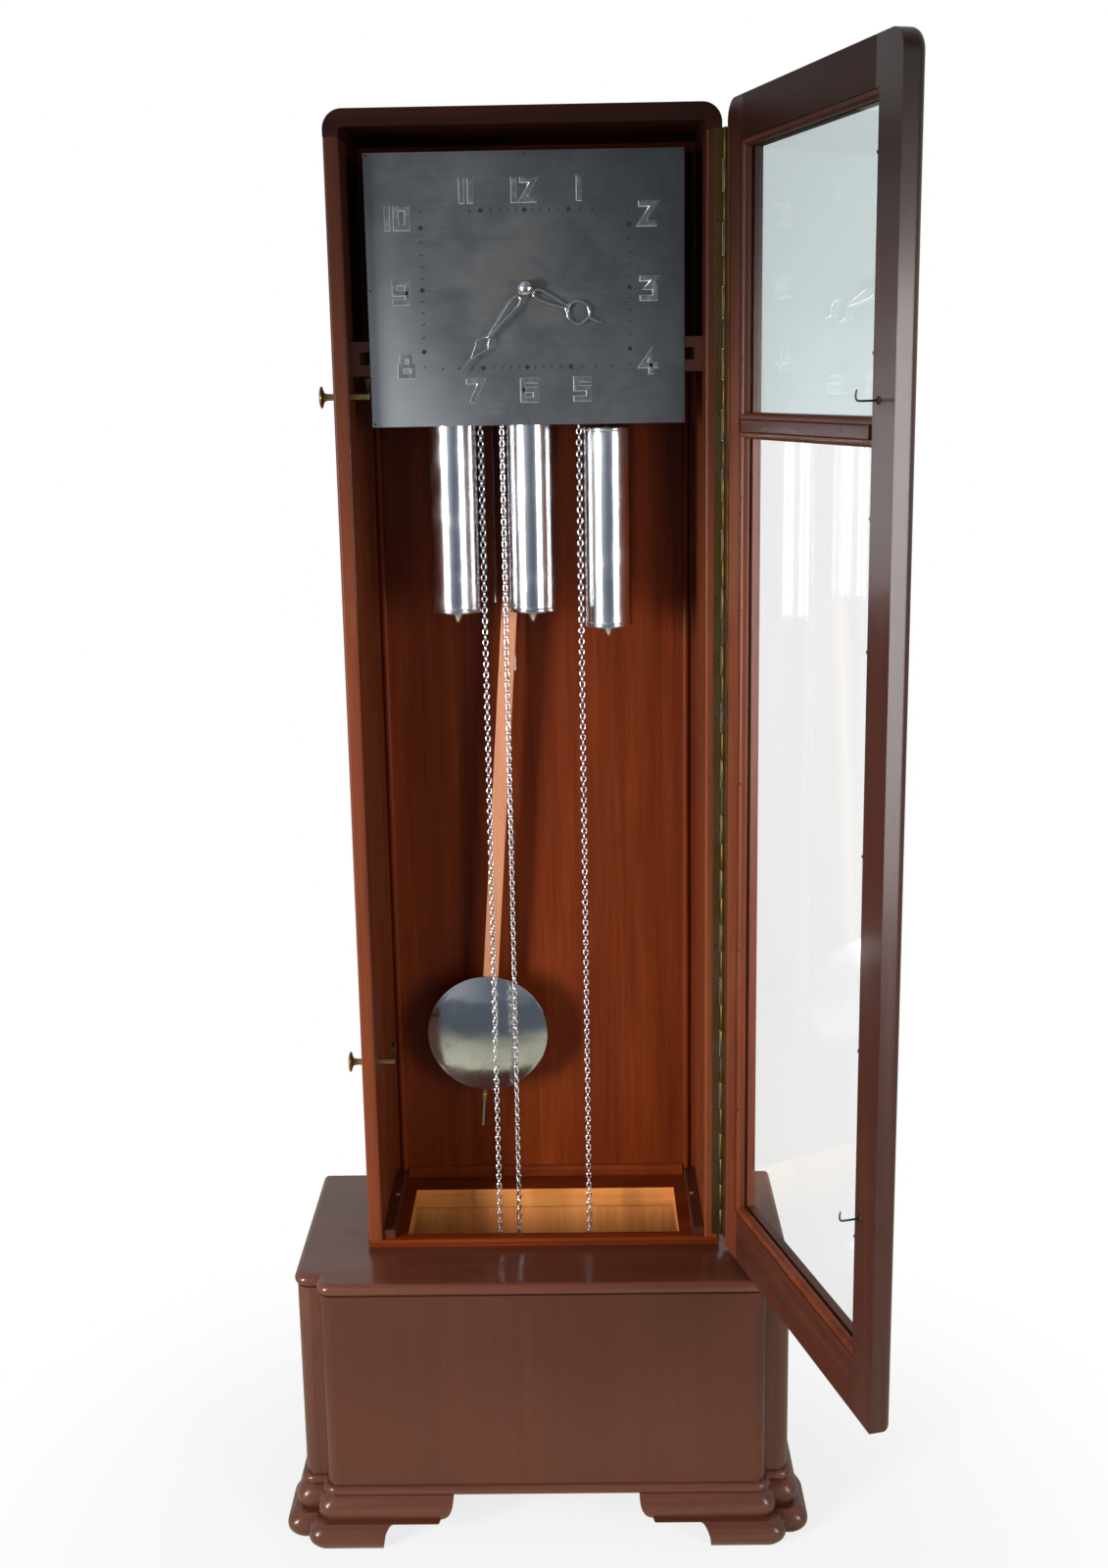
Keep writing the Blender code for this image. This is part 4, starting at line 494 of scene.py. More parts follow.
def lathe(profile, axis, middle=(0.0, 0.0), steps=48):  # a profile that ends where it began is a ring
    shape = bmesh.new()
    rows = []
    for radius, along in profile:
        if radius == 0.0:
            rows.append([shape.verts.new(spotOn(axis, middle, along))])
            continue
        ring = []
        for k in range(steps):
            angle = 2 * pi * k / steps
            spot = (middle[0] + radius * cos(angle), middle[1] + radius * sin(angle))
            ring.append(shape.verts.new(spotOn(axis, spot, along)))
        rows.append(ring)
    skinRows(shape, rows)
    return shape if profile[0] == profile[-1] else capEnds(shape, rows)


def board(x, y, z, soft=0.0012, segments=2):
    shape = bmesh.new()
    bmesh.ops.create_cube(shape, size=1.0)
    for vert in shape.verts:
        for i, (low, high) in enumerate((x, y, z)):
            vert.co[i] = low if vert.co[i] < 0 else high
    bmesh.ops.bevel(shape, geom=shape.edges[:], offset=soft, segments=segments, profile=0.5, affect="EDGES")
    return shape


def cutter(x, y, z):
    return prism([(x[0], y[0]), (x[1], y[0]), (x[1], y[1]), (x[0], y[1])], "z", z[0], z[1])


def together(*shapes):
    whole = bmesh.new()
    for shape in shapes:
        mesh = bpy.data.meshes.new("part")
        shape.to_mesh(mesh)
        shape.free()
        whole.from_mesh(mesh)
        bpy.data.meshes.remove(mesh)
    return whole


def sweep(points, radius, depth, closed=False, steps=10):
    # flat wire along x, z points; radius across the path, depth front to back
    shape = bmesh.new()
    rows = []
    count = len(points)
    for i, (x, z) in enumerate(points):
        before = points[(i - 1) % count] if closed else points[max(i - 1, 0)]
        after = points[(i + 1) % count] if closed else points[min(i + 1, count - 1)]
        run = Vector((after[0] - before[0], after[1] - before[1])).normalized()
        wide = radius(i / (count - 1)) if callable(radius) else radius
        ring = []
        for k in range(steps):
            angle = 2 * pi * k / steps
            across = wide * cos(angle)
            ring.append(shape.verts.new((x - run.y * across, depth * sin(angle), z + run.x * across)))
        rows.append(ring)
    skinRows(shape, rows, closed)
    return shape if closed else capEnds(shape, rows)


def smoothPath(points, steps=6, closed=False):  # curve through the points
    path = []
    count = len(points)
    spots = [Vector(p) for p in points]
    for i in range(count if closed else count - 1):
        near = range(i - 1, i + 3)
        a, b, c, d = [spots[j % count] if closed else spots[min(max(j, 0), count - 1)] for j in near]
        for k in range(steps):
            t = k / steps
            path.append(((b * 2) + (c - a) * t + (a * 2 - b * 5 + c * 4 - d) * t * t
                         + (b * 3 - a - c * 3 + d) * t * t * t) / 2)
    if not closed:
        path.append(spots[-1])
    return [tuple(p) for p in path]


def trimFrame(x, z, profile):  # mitred moulding round a rectangle; profile gives inset and depth
    shape = bmesh.new()
    rows = []
    for inset, y in profile:
        ring = [(x[0] + inset, z[0] + inset), (x[1] - inset, z[0] + inset),
                (x[1] - inset, z[1] - inset), (x[0] + inset, z[1] - inset)]
        rows.append([shape.verts.new((u, y, v)) for u, v in ring])
    return skinRows(shape, rows, True)


def newObject(name, mesh):
    made = bpy.data.objects.new(name, mesh)
    bpy.context.scene.collection.objects.link(made)
    return made


def loose(name, shape):
    bmesh.ops.recalc_face_normals(shape, faces=shape.faces)
    mesh = bpy.data.meshes.new(name)
    shape.to_mesh(mesh)
    shape.free()
    return newObject(name, mesh)


def drop(thing):
    mesh = thing.data
    bpy.data.objects.remove(thing)
    bpy.data.meshes.remove(mesh)


def plainMesh(thing):
    graph = bpy.context.evaluated_depsgraph_get()
    return bpy.data.meshes.new_from_object(thing.evaluated_get(graph))


def carve(shape, tool, operation="DIFFERENCE"):
    blank = loose("blank", shape)
    knife = loose("knife", tool)
    step = blank.modifiers.new("carve", "BOOLEAN")
    step.operation = operation
    step.solver = "EXACT"
    step.object = knife
    mesh = plainMesh(blank)
    result = bmesh.new()
    result.from_mesh(mesh)
    bpy.data.meshes.remove(mesh)
    drop(blank)
    drop(knife)
    return result


def settle(mesh, name, finish, sharp):
    mesh.name = name
    mesh.materials.clear()
    mesh.materials.append(finish)
    mesh.shade_smooth()
    mesh.set_sharp_from_angle(angle=radians(sharp))
    made = newObject(name, mesh)
    return made


def dress(name, shape, finish, body="case", where=clockFrame, stands=(), sharp=32):
    bmesh.ops.remove_doubles(shape, verts=shape.verts, dist=1e-6)
    bmesh.ops.recalc_face_normals(shape, faces=shape.faces)
    mesh = bpy.data.meshes.new(name)
    shape.to_mesh(mesh)
    shape.free()
    mesh.transform(where)
    made = settle(mesh, name, finish, sharp)
    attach(made, body)
    if stands:
        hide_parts(*stands)


# Geometry Nodes: one tree sets a piece on points, the other links a chain along a path
def newTree(name, inputs):
    tree = bpy.data.node_groups.new(name, "GeometryNodeTree")
    tree.interface.new_socket("Geometry", in_out="INPUT", socket_type="NodeSocketGeometry")
    keys = {}
    for word, kind in inputs.items():
        keys[word] = tree.interface.new_socket(word, in_out="INPUT", socket_type=kind).identifier
    tree.interface.new_socket("Geometry", in_out="OUTPUT", socket_type="NodeSocketGeometry")
    bench = Bench(tree)
    return bench, bench.node("NodeGroupInput"), keys


def closeTree(bench, given, points, rotation):
    item = bench.node("GeometryNodeObjectInfo", {"Object": given.other("item")}, "Geometry")
    sockets = {"Points": points, "Instance": item, "Rotation": rotation}
    placed = bench.node("GeometryNodeInstanceOnPoints", sockets)
    real = bench.node("GeometryNodeRealizeInstances", {"Geometry": placed})
    painted = bench.node("GeometryNodeSetMaterial", {"Geometry": real, "Material": given.other("finish")})
    bench.node("NodeGroupOutput", {0: painted})


def scatterTree():
    bench, given, keys = newTree("setOnPoints", {"item": "NodeSocketObject", "finish": "NodeSocketMaterial"})
    turn = bench.node("GeometryNodeInputNamedAttribute", {"Name": "turn"}, data_type="FLOAT_VECTOR")
    closeTree(bench, given, given, bench.node("FunctionNodeEulerToRotation", {"Euler": turn}))
    return bench.tree, keys


def chainTree():
    bench, given, keys = newTree("linkAlongPath", {"item": "NodeSocketObject", "finish": "NodeSocketMaterial",
                                                   "pitch": "NodeSocketFloat", "roll": "NodeSocketFloat"})
    path = bench.node("GeometryNodeMeshToCurve", {"Mesh": given})
    spots = bench.node("GeometryNodeCurveToPoints", {"Curve": path, "Length": given.other("pitch")},
                       mode="LENGTH")
    odd = bench.node("GeometryNodeInputIndex") % 2.0
    roll = bench.node("ShaderNodeCombineXYZ", {"Z": odd * (pi / 2) + given.other("roll")})
    spin = bench.node("FunctionNodeEulerToRotation", {"Euler": roll})
    sockets = {"Rotation": spots.other("Rotation"), "Rotate By": spin}
    turned = bench.node("FunctionNodeRotateRotation", sockets, rotation_space="LOCAL")
    closeTree(bench, given, spots, turned)
    return bench.tree, keys


scatter = scatterTree()
linkage = chainTree()


def grow(name, carrier, kit, inputs, sharp=40):  # tree run on a carrier mesh, made plain
    tree, keys = kit
    step = carrier.modifiers.new("grow", "NODES")
    step.node_group = tree
    for word, value in inputs.items():
        step[keys[word]] = value
    mesh = plainMesh(carrier)
    carrier.modifiers.remove(step)
    drop(carrier)
    return settle(mesh, name, inputs["finish"], sharp)


def setOut(name, shape, spots, finish, slot, body="case", where=clockFrame, turns=Matrix.Identity(3)):
    item = loose(name + "_item", shape)
    mesh = bpy.data.meshes.new(name + "_spots")
    mesh.from_pydata([where @ Vector(p) for p in spots], [], [])
    turn = mesh.attributes.new("turn", "FLOAT_VECTOR", "POINT")
    for i in range(len(spots)):
        own = turns[i] if isinstance(turns, list) else turns
        turn.data[i].vector = tuple((where.to_3x3() @ own).to_euler())
    made = grow(name, newObject(name + "_spots", mesh), scatter, {"item": item, "finish": finish})
    drop(item)
    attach(made, body)


# base: front panel, side bars, top board, bead and stepped feet
plinth = {"half": 0.3308, "frontHalf": 0.298, "frontY": -0.102, "stepY": -0.0746, "depth": 0.2354,
          "corner": 0.018, "rearCorner": 0.003, "sideThick": 0.045, "panelLow": 0.0833, "panelHigh": 0.3625,
          "topLow": 0.3628, "topHigh": 0.38, "topLip": 0.003, "nose": 0.0078,
          "beadLow": 0.0693, "beadHigh": 0.083, "beadLip": 0.006, "beadRound": 0.005, "fit": 0.0003}
well = {"half": 0.188, "front": 0.018, "back": 0.159, "cut": (0.3, 0.45)}


def basePlan(extra, steps=8):
    half = plinth["half"] + extra
    front = plinth["frontHalf"] + extra
    frontY = plinth["frontY"] - extra
    stepY = plinth["stepY"] - extra
    corner, depth = take(plinth, "corner depth")
    return rounded([
        (-half, depth, 0.0), (-half, stepY, corner), (-front, stepY, 0.0), (-front, frontY, corner),
        (front, frontY, corner), (front, stepY, 0.0), (half, stepY, corner), (half, depth, 0.0)], steps)


def moulded(levels):
    return loft([(basePlan(extra, 10), z) for z, extra in levels], "z")


def wellCut():
    return cutter(span(well["half"]), (well["front"], well["back"]), well["cut"])


def makeBase():
    front, frontY, corner = take(plinth, "frontHalf frontY corner")
    rear = plinth["stepY"] - plinth["fit"]
    tall = (plinth["panelLow"], plinth["panelHigh"])
    outline = rounded([(-front, rear, 0.0), (-front, frontY, corner),
                       (front, frontY, corner), (front, rear, 0.0)], 12)
    panel = prism(outline, "z", *tall)
    dress("base_front_panel", panel, woods["baseFront"], stands=["base_front"])
    half, stepY, depth = take(plinth, "half stepY depth")
    inner = half - plinth["sideThick"]
    for side, sign in sides:
        outline = rounded([(half, depth, plinth["rearCorner"]), (half, stepY, corner),
                           (inner, stepY, 0.0), (inner, depth, 0.0)], 12)
        bar = prism([(sign * u, v) for u, v in outline], "z", *tall)
        dress("base_%s_bar" % side, bar, woods["baseUpright"], stands=["base_%s_side" % side])
    low, high, lip, nose = take(plinth, "topLow topHigh topLip nose")
    levels = [(low + nose * (1 - cos(a)), lip - nose * (1 - sin(a))) for a in quarter(6)]
    levels += [(high - nose * (1 - sin(a)), lip - nose * (1 - cos(a))) for a in quarter(6)]
    shelf = carve(moulded(levels), wellCut())
    dress("base_top_board", shelf, woods["baseShelf"], stands=["base_top"])
    low, high, lip, curve = take(plinth, "beadLow beadHigh beadLip beadRound")
    levels = [((low + high) / 2 - (high - low) / 2 * cos(a), lip - curve * (1 - sin(a)))
              for a in halfTurn(10)]
    dress("base_bead", moulded(levels), woods["baseCross"], stands=["base_floor"])


feet = {"low": 0.034, "high": 0.069, "lowLip": 0.026, "highLip": 0.013, "bulge": 0.01, "depth": 0.055,
        "highLength": 0.172, "lowLength": 0.09, "highSide": 0.15, "lowSide": 0.095, "endRound": 0.022,
        "endCove": 0.014, "past": 0.01}


def footLevels():
    low, high, bulge, fit = feet["low"], feet["high"], feet["bulge"], plinth["fit"]
    levels = []
    for t in [k / 10 for k in range(11)]:
        fall = abs(2 * t - 1) ** 2.3 * (0.7 if t < 0.5 else 1.0)
        levels.append((low * t, feet["lowLip"] - bulge * fall))
    for t in [k / 10 for k in range(11)]:
        fall = 0.6 * ((0.4 - t) / 0.4) ** 2 if t < 0.4 else ((t - 0.4) / 0.6) ** 2.5
        levels.append((low + fit + (high - low - fit) * t, feet["highLip"] - bulge * fall))
    return levels


def footSide(outer, highEnd, lowEnd):  # outline of a foot seen from one side
    past, cove, top = take(feet, "past endCove high")
    ledge = feet["low"] - plinth["fit"]
    points = [(outer, -past), (lowEnd - cove, -past)]
    points += [(lowEnd - cove * cos(a), ledge * sin(a)) for a in quarter(8)]
    points += [(highEnd - feet["endRound"] * (1 - sin(a)), top - (top - ledge) * cos(a)) for a in quarter(8)]
    return points + [(highEnd, top + past), (outer, top + past)]


def makeFeet():
    past, frontY, rear = feet["past"], plinth["frontY"], -plinth["depth"]
    outer = plinth["half"] + feet["lowLip"] + past
    inner = plinth["half"] - feet["depth"]
    farY = frontY - feet["lowLip"] - past
    frontHalf = plinth["frontHalf"]
    along = footSide(-outer, feet["highLength"] - frontHalf, feet["lowLength"] - frontHalf)
    front = footSide(farY, feet["highSide"] + frontY, feet["lowSide"] + frontY)
    back = [(-u, v) for u, v in footSide(rear - past, rear + feet["highSide"], rear + feet["lowSide"])]
    for side, sign in sides:
        region = carve(prism([(-sign * u, v) for u, v in along], "y", farY, feet["depth"] + frontY),
                       prism(front, "x", sign * inner, sign * outer), "UNION")
        foot = carve(moulded(footLevels()), region, "INTERSECT")
        dress("front_%s_foot" % side, foot, woods["baseCross"], stands=["foot_front_" + side])
        foot = carve(moulded(footLevels()), prism(back, "x", sign * inner, sign * outer), "INTERSECT")
        dress("rear_%s_foot" % side, foot, woods["baseCross"], stands=["foot_rear_" + side])


# base inside, seen through the well
lining = {"floor": (0.0835, 0.0865), "low": 0.087, "tall": 0.1345, "pitch": 0.1355, "high": 0.362,
          "frontGap": 0.0005, "backGap": 0.0105, "floorInset": 0.002, "sideGap": 0.0003, "inset": 0.003,
          "screenInset": 0.0035, "screen": (0.0002, 0.0035), "screenHigh": 0.3622, "thick": 0.0025,
          "edge": 0.0012, "edgeZ": (0.3635, 0.3914), "edgeSoft": 0.0003, "edgeFit": 0.0002,
          "edgeSeam": 0.0001}


def makeLining():
    half = plinth["half"] - plinth["sideThick"]
    y = (plinth["stepY"] + lining["frontGap"], plinth["depth"] - lining["backGap"])
    low, high, thick, inset = take(lining, "low high thick inset")
    boards = [board(span(half - lining["floorInset"]), y, lining["floor"])]
    for sign in (-1, 1):
        x = onSide(sign, half - lining["sideGap"], half - inset)
        for k in range(2):  # two boards, one over the other
            z = low + lining["pitch"] * k
            boards.append(board(x, (y[0] + inset, y[1]), (z, z + lining["tall"])))
    for ends in ((y[0], y[0] + thick), (y[1] - thick, y[1])):
        boards.append(board(span(half - inset), ends, (low, high)))
    screen = [well["back"] + gap for gap in lining["screen"]]
    boards.append(board(span(half - lining["screenInset"]), screen, (low, lining["screenHigh"])))
    dress("base_lining", together(*boards), woods["rawUpright"])
    # thin strips round the well's edge
    edge, z, soft = take(lining, "edge edgeZ edgeSoft")
    front, back, fit, seam = well["front"], well["back"], lining["edgeFit"], lining["edgeSeam"]
    half = well["half"] - fit
    long = ((front + fit, front + edge), (back - edge, back - fit))
    strips = [board(span(half), y, z, soft, 1) for y in long]
    for sign in (-1, 1):
        y = (front + edge + seam, back - edge - seam)
        strips.append(board(onSide(sign, half, half - edge), y, z, soft, 1))
    dress("well_edges", together(*strips), woods["rawCross"])


# trunk: rounded top, sill, back panel trim
trunk = {"half": 0.24, "inner": 0.221, "depth": 0.2354, "top": 1.864, "sideTop": 1.832, "ceiling": 1.843,
         "corner": 0.024, "innerCorner": 0.006, "floorLow": 0.3803, "floorHigh": 0.392, "backY": 0.2054,
         "sillReach": 0.002, "sillGroove": 0.0045, "sillNose": 0.0032, "sillLap": 0.0006,
         "sillEnd": (0.0006, 0.028), "sillDrop": 0.0004, "sillSoft": 0.0009, "railY": 0.1995,
         "railLow": 0.3923, "railHigh": 0.403, "railRound": 0.0055, "railHalf": 0.2026, "topRail": 0.008,
         "beadX": 0.2085, "beadRadius": 0.005, "beadZ": (0.3925, 1.8316), "cleatY": (0.006, 0.1985),
         "fit": 0.0001, "inset": 0.0002}
cleat = [(0.2207, 0.3923), (0.2207, 0.4045), (0.2065, 0.4045), (0.204, 0.402), (0.204, 0.3923)]
cleatScrews = {"size": (0.0046, 0.0028), "spots": [(-0.212, 0.118, 0.4045), (0.2115, 0.113, 0.4045)]}


def makeTrunk():
    half, inner, depth = take(trunk, "half inner depth")
    side, ceiling, bend = take(trunk, "sideTop ceiling innerCorner")
    roof, corner = take(trunk, "top corner")
    outline = rounded([
        (-half, side, 0.0), (-inner, side, 0.0), (-inner, ceiling, bend), (inner, ceiling, bend),
        (inner, side, 0.0), (half, side, 0.0), (half, roof, corner), (-half, roof, corner)], 12)
    crest = prism(outline, "y", 0.0, depth)
    dress("trunk_rounded_top", crest, woods["caseCrestShaded"], stands=["trunk_top"])
    # floor board with a round nose in front and a shadow groove under it
    low, high, groove, nose = take(trunk, "floorLow floorHigh sillGroove sillNose")
    middle, lap, fit = (low + groove + high) / 2, trunk["sillLap"], trunk["fit"]
    profile = [(depth, low), (groove, low), (groove, low + groove - lap)]
    for angle in [a - pi / 2 for a in halfTurn(8)]:
        profile.append((nose - nose * cos(angle), middle + (high - low - groove + lap) / 2 * sin(angle)))
    profile.append((depth, high))
    sill = carve(prism(profile, "x", -half, half), wellCut())
    dress("trunk_sill", sill, woods["insideCross"], stands=["trunk_floor"])
    ends = []
    for sign in (-1, 1):
        x = onSide(sign, half + fit, half + trunk["sillReach"])
        z = (low + groove, high - trunk["sillDrop"])
        ends.append(board(x, trunk["sillEnd"], z, trunk["sillSoft"]))
    dress("sill_ends", together(*ends), woods["edgeUpright"])
    # rails and corner beads on the back panel, cleats on the floor
    backY, railY, curve, low = take(trunk, "backY railY railRound railLow")
    rail = [(backY, low), (railY, low)]
    rail += [(railY + curve * (1 - cos(a)), trunk["railHigh"] + curve * sin(a)) for a in quarter(6)]
    dress("back_rail", prism(rail, "x", *span(trunk["railHalf"])), woods["insideCross"])
    wide, high = inner - trunk["inset"], ceiling - trunk["inset"]
    top = rounded([(-wide, side, 0.0), (wide, side, 0.0), (wide, high, bend), (-wide, high, bend)], 8)
    dress("back_top_rail", prism(top, "y", backY, backY + trunk["topRail"]), woods["insideCross"])
    beads, cleats = [], []
    for sign in (-1, 1):
        radius = trunk["beadRadius"]
        outline = [(sign * (trunk["beadX"] + radius * cos(a)), backY - fit - radius * sin(a))
                   for a in halfTurn(10)]
        beads.append(prism(outline, "z", *trunk["beadZ"]))
        cleats.append(prism([(sign * u, v) for u, v in cleat], "y", *trunk["cleatY"]))
    dress("corner_beads", together(*beads), woods["insideUpright"])
    dress("floor_cleats", together(*cleats), woods["caseEnd"])


# screws and small fixings set out on points
def screwHead(radius, height, slot=True):  # lies in x, y with its head up z
    profile = [(radius * 0.96, 0.0), (radius, height * 0.25)]
    profile += [(radius * cos(a), height * (0.25 + 0.75 * sin(a))) for a in (0.5, 0.95)]
    profile.append((0.0, height))
    head = lathe(profile, "z", steps=12)
    if slot:
        long, wide = radius * 1.2, radius * 0.14
        head = carve(head, cutter((-long, long), (-wide, wide), (height * 0.55, height * 2)))
    return head


towardsFront = Matrix.Rotation(pi / 2, 3, "X")  # head up z turned to look along -y
towardsBack = Matrix.Rotation(-pi / 2, 3, "X")


# door: frame with rounded outer edge, glazing bar, beads, piano hinge
door = {"near": -0.0035, "far": -0.4832, "inside": -0.0016, "outside": -0.0276, "low": 0.386, "top": 1.864,
        "left": -0.4225, "right": -0.0545, "sill": 0.462, "head": 1.806, "round": 0.01, "corner": 0.024,
        "foot": 0.003, "rebate": 0.008, "lip": 0.01, "bar": (1.477, 1.4925), "barDepth": 0.02, "fit": 0.0003,
        "past": 0.01, "glass": 0.0043, "bead": 0.0078, "beadCurve": 0.0062, "beadGap": 0.0003,
        "screwZ": (0.6, 0.82, 1.04, 1.26, 1.398, 1.563, 1.755), "screwX": (-0.11, -0.24, -0.37),
        "screwIn": 0.0035, "screwSize": (0.0019, 0.0008), "barScrewX": (-0.233, -0.352), "barScrewZ": 1.4845,
        "barScrewSize": (0.0026, 0.0008), "barScrewSunk": 0.0002, "barRound": 0.004, "barBackRound": 0.002,
        "beadSunk": 0.0012, "beadStep": 0.0015, "barGap": 0.0004}


def doorBlank():
    near, far, low, top, foot = take(door, "near far low top foot")
    levels = [(0.0, door["inside"])]
    levels += [(door["round"] * (1 - cos(a)), door["outside"] + door["round"] * (1 - sin(a)))
               for a in quarter(10)]
    rings = []
    for inset, y in levels:
        corner = door["corner"] - inset
        rings.append((rounded([
            (far + inset, low + inset, foot), (near - inset, low + inset, foot),
            (near - inset, top - inset, corner), (far + inset, top - inset, corner)], 10), y))
    return loft(rings, "y")


def makeDoor():
    left, right, sill, head = take(door, "left right sill head")
    fit, past, rebate, inside = take(door, "fit past rebate inside")
    reach = (door["outside"] - past, inside + past)
    tall = (door["low"] - past, door["top"] + past)
    x = (left - rebate, right + rebate)
    members = {
        "door_hinge_stile": ((right, door["near"] + past), tall, "doorStileLit"),
        "door_lock_stile": ((door["far"] - past, left), tall, "doorLock"),
        "door_top_rail": ((left + fit, right - fit), (head, tall[1]), "doorCrestShaded"),
        "door_bottom_rail": ((left + fit, right - fit), (tall[0], sill), "doorCross"),
    }
    for name, (across, up, wood) in members.items():
        member = carve(doorBlank(), cutter(across, reach, up), "INTERSECT")
        groove = cutter(x, (door["outside"] + door["lip"], reach[1]), (sill - rebate, head + rebate))
        dress(name + "_shaped", carve(member, groove), woods[wood], "door", doorFrame, [name])
    low, high = door["bar"]
    front, bend, backBend = inside - door["barDepth"], door["barRound"], door["barBackRound"]
    bar = rounded([(front, low, bend), (front, high, bend),
                   (inside, high, backBend), (inside, low, backBend)], 6)
    dress("door_bar_shaped", prism(bar, "x", left + fit, right - fit), woods["doorCross"], "door",
          doorFrame, ["door_glazing_bar"])
    # quarter-round beads that hold the panes
    bead, gap, back = door["bead"], door["beadGap"], door["outside"] + door["lip"] + fit + door["glass"]
    deep, step = inside - door["beadSunk"] - back, door["beadStep"]
    profile = [(gap, back), (bead, back)]
    profile += [(bead - door["beadCurve"] * (1 - cos(a)), back + step + (deep - step) * sin(a))
                for a in quarter(6)]
    profile.append((gap, back + deep))
    beads = [trimFrame(x, (sill - rebate, low - door["barGap"]), profile),
             trimFrame(x, (high + door["barGap"], head + rebate), profile)]
    dress("door_glass_beads", together(*beads), woods["doorBead"], "door", doorFrame)
    onDoor = (metals["screwDark"], "steel", "door", doorFrame, towardsBack)
    beadY, inset = back + deep * 0.93, door["screwIn"]
    spots = [(u, beadY, z) for z in door["screwZ"] for u in (right + inset, left - inset)]
    spots += [(u, beadY, z) for u in door["screwX"] for z in (sill - inset, head + inset)]
    setOut("bead_screws", screwHead(*door["screwSize"]), spots, *onDoor)
    spots = [(u, inside - door["barScrewSunk"], door["barScrewZ"]) for u in door["barScrewX"]]
    setOut("bar_screws", screwHead(*door["barScrewSize"]), spots, *onDoor)
    for node, finish in panes.items():
        paint(node, finish)


hinge = {"low": 0.398, "high": 1.834, "knuckles": 39, "radius": 0.0028, "pin": 0.0012,
         "pinEnd": (0.0006, 0.001), "leafNear": -0.00285,
         "leafFar": -0.013, "leafSoft": 0.0002, "thick": 0.001, "fit": 0.0003, "gap": 0.0002, "bore": 0.0005,
         "bevel": (0.0003, 0.0004), "tongue": (-0.00325, -0.0014), "screws": 19, "screwX": -0.0084,
         "stagger": 0.0014, "screwEnd": 0.03, "screwSize": (0.002, 0.00025)}


def makeHinge():
    low, high, pin, ring = take(hinge, "low high pin radius")
    pitch = (high - low) / hinge["knuckles"]
    long = pitch / 2 - hinge["gap"]
    bore, (inset, bevel) = pin + hinge["bore"], hinge["bevel"]
    step = (high - low - 2 * hinge["screwEnd"]) / (hinge["screws"] - 1)
    # side 1: leaf on the trunk, side -1: leaf on the door
    for which, body, where, side in (("trunk", "case", pinFrame, 1), ("door", "door", doorFrame, -1)):
        name = "hinge_%s_leaf" % which
        outer = side * (-hang["pinY"] - hinge["fit"])
        inner = outer - side * hinge["thick"]  # the face that shows when the door stands open
        y = sorted((inner, outer))
        leaf = [board((hinge["leafFar"], hinge["leafNear"]), y, (low, high), hinge["leafSoft"], 1)]
        if side > 0:
            past, tip = hinge["pinEnd"]
            rod = [(0.0, low - tip), (pin, low - past), (pin, high + past), (0.0, high + tip)]
            leaf.append(lathe(rod, "z", steps=12))
        dress(name, together(*leaf), metals["hingeBrass"], body, where, ["hinge_leaf_" + which])
        # rolled knuckle with a tongue that runs back to the leaf
        roll = lathe([(bore, -long), (ring - inset, -long), (ring, -long + bevel),
                      (ring, long - bevel), (ring - inset, long), (bore, long)], "z", steps=14)
        tongue = cutter(hinge["tongue"], y, span(long))
        first = 0 if side > 0 else 1
        spots = [(0.0, 0.0, low + (k + 0.5) * pitch) for k in range(first, hinge["knuckles"], 2)]
        setOut(name + "_knuckles", together(roll, tongue), spots, metals["hingeBrass"], "brass", body, where)
        spots = [(hinge["screwX"] + hinge["stagger"] * (-1) ** k, inner, low + hinge["screwEnd"] + step * k)
                 for k in range(hinge["screws"])]
        head = screwHead(*hinge["screwSize"], False)
        turn = towardsFront if side > 0 else towardsBack
        setOut(name + "_screws", head, spots, metals["screwDark"], "steel", body, where, turn)


latch = {"face": -0.262, "radius": 0.0138, "thick": 0.0055, "spindle": 0.0043, "collar": 0.0185,
         "claw": -0.201, "clawThick": 0.004, "clawLong": 0.022, "clawWide": 0.006,
         "y": 0.035, "upper": 1.526, "lower": 0.64,
         "hookDrop": 0.0095, "hookReach": 0.023, "hookWire": 0.0012, "hookSeat": 0.0046,
         "hookStart": (0.0002, 0.006),  # out from the door, then short of the reach and up
         "hookBend": [(0.0042, 0.0), (0.0011, 0.0012), (0.0, 0.0042), (0.0003, 0.0085), (0.0012, 0.0112)],
         "hookRose": [(1.0, 0.0001), (1.0, 0.0005), (0.86, 0.0011), (0.45, 0.0014), (0.36, 0.003),
                      (0.0, 0.0032)]}


def knobProfile():
    face, radius, thick, spindle = take(latch, "face radius thick spindle")
    collar = face + latch["collar"]
    inner = latch["claw"] + latch["clawThick"] / 2
    profile = [(0.0, face)]
    profile += [(radius * sin(a), face + thick * 0.55 * (1 - cos(a))) for a in quarter(8)[1:]]
    profile += [(radius * 0.97, face + thick * 0.74), (radius * 0.72, face + thick * 0.92)]
    profile += [(spindle * 1.25, face + thick * 1.25), (spindle, face + thick * 2.0), (spindle, collar)]
    profile += [(spindle * 1.6, collar + 0.0005), (spindle * 1.6, collar + 0.003)]
    return profile + [(spindle * 0.98, collar + 0.0033), (spindle * 0.98, inner), (0.0, inner + 0.0004)]


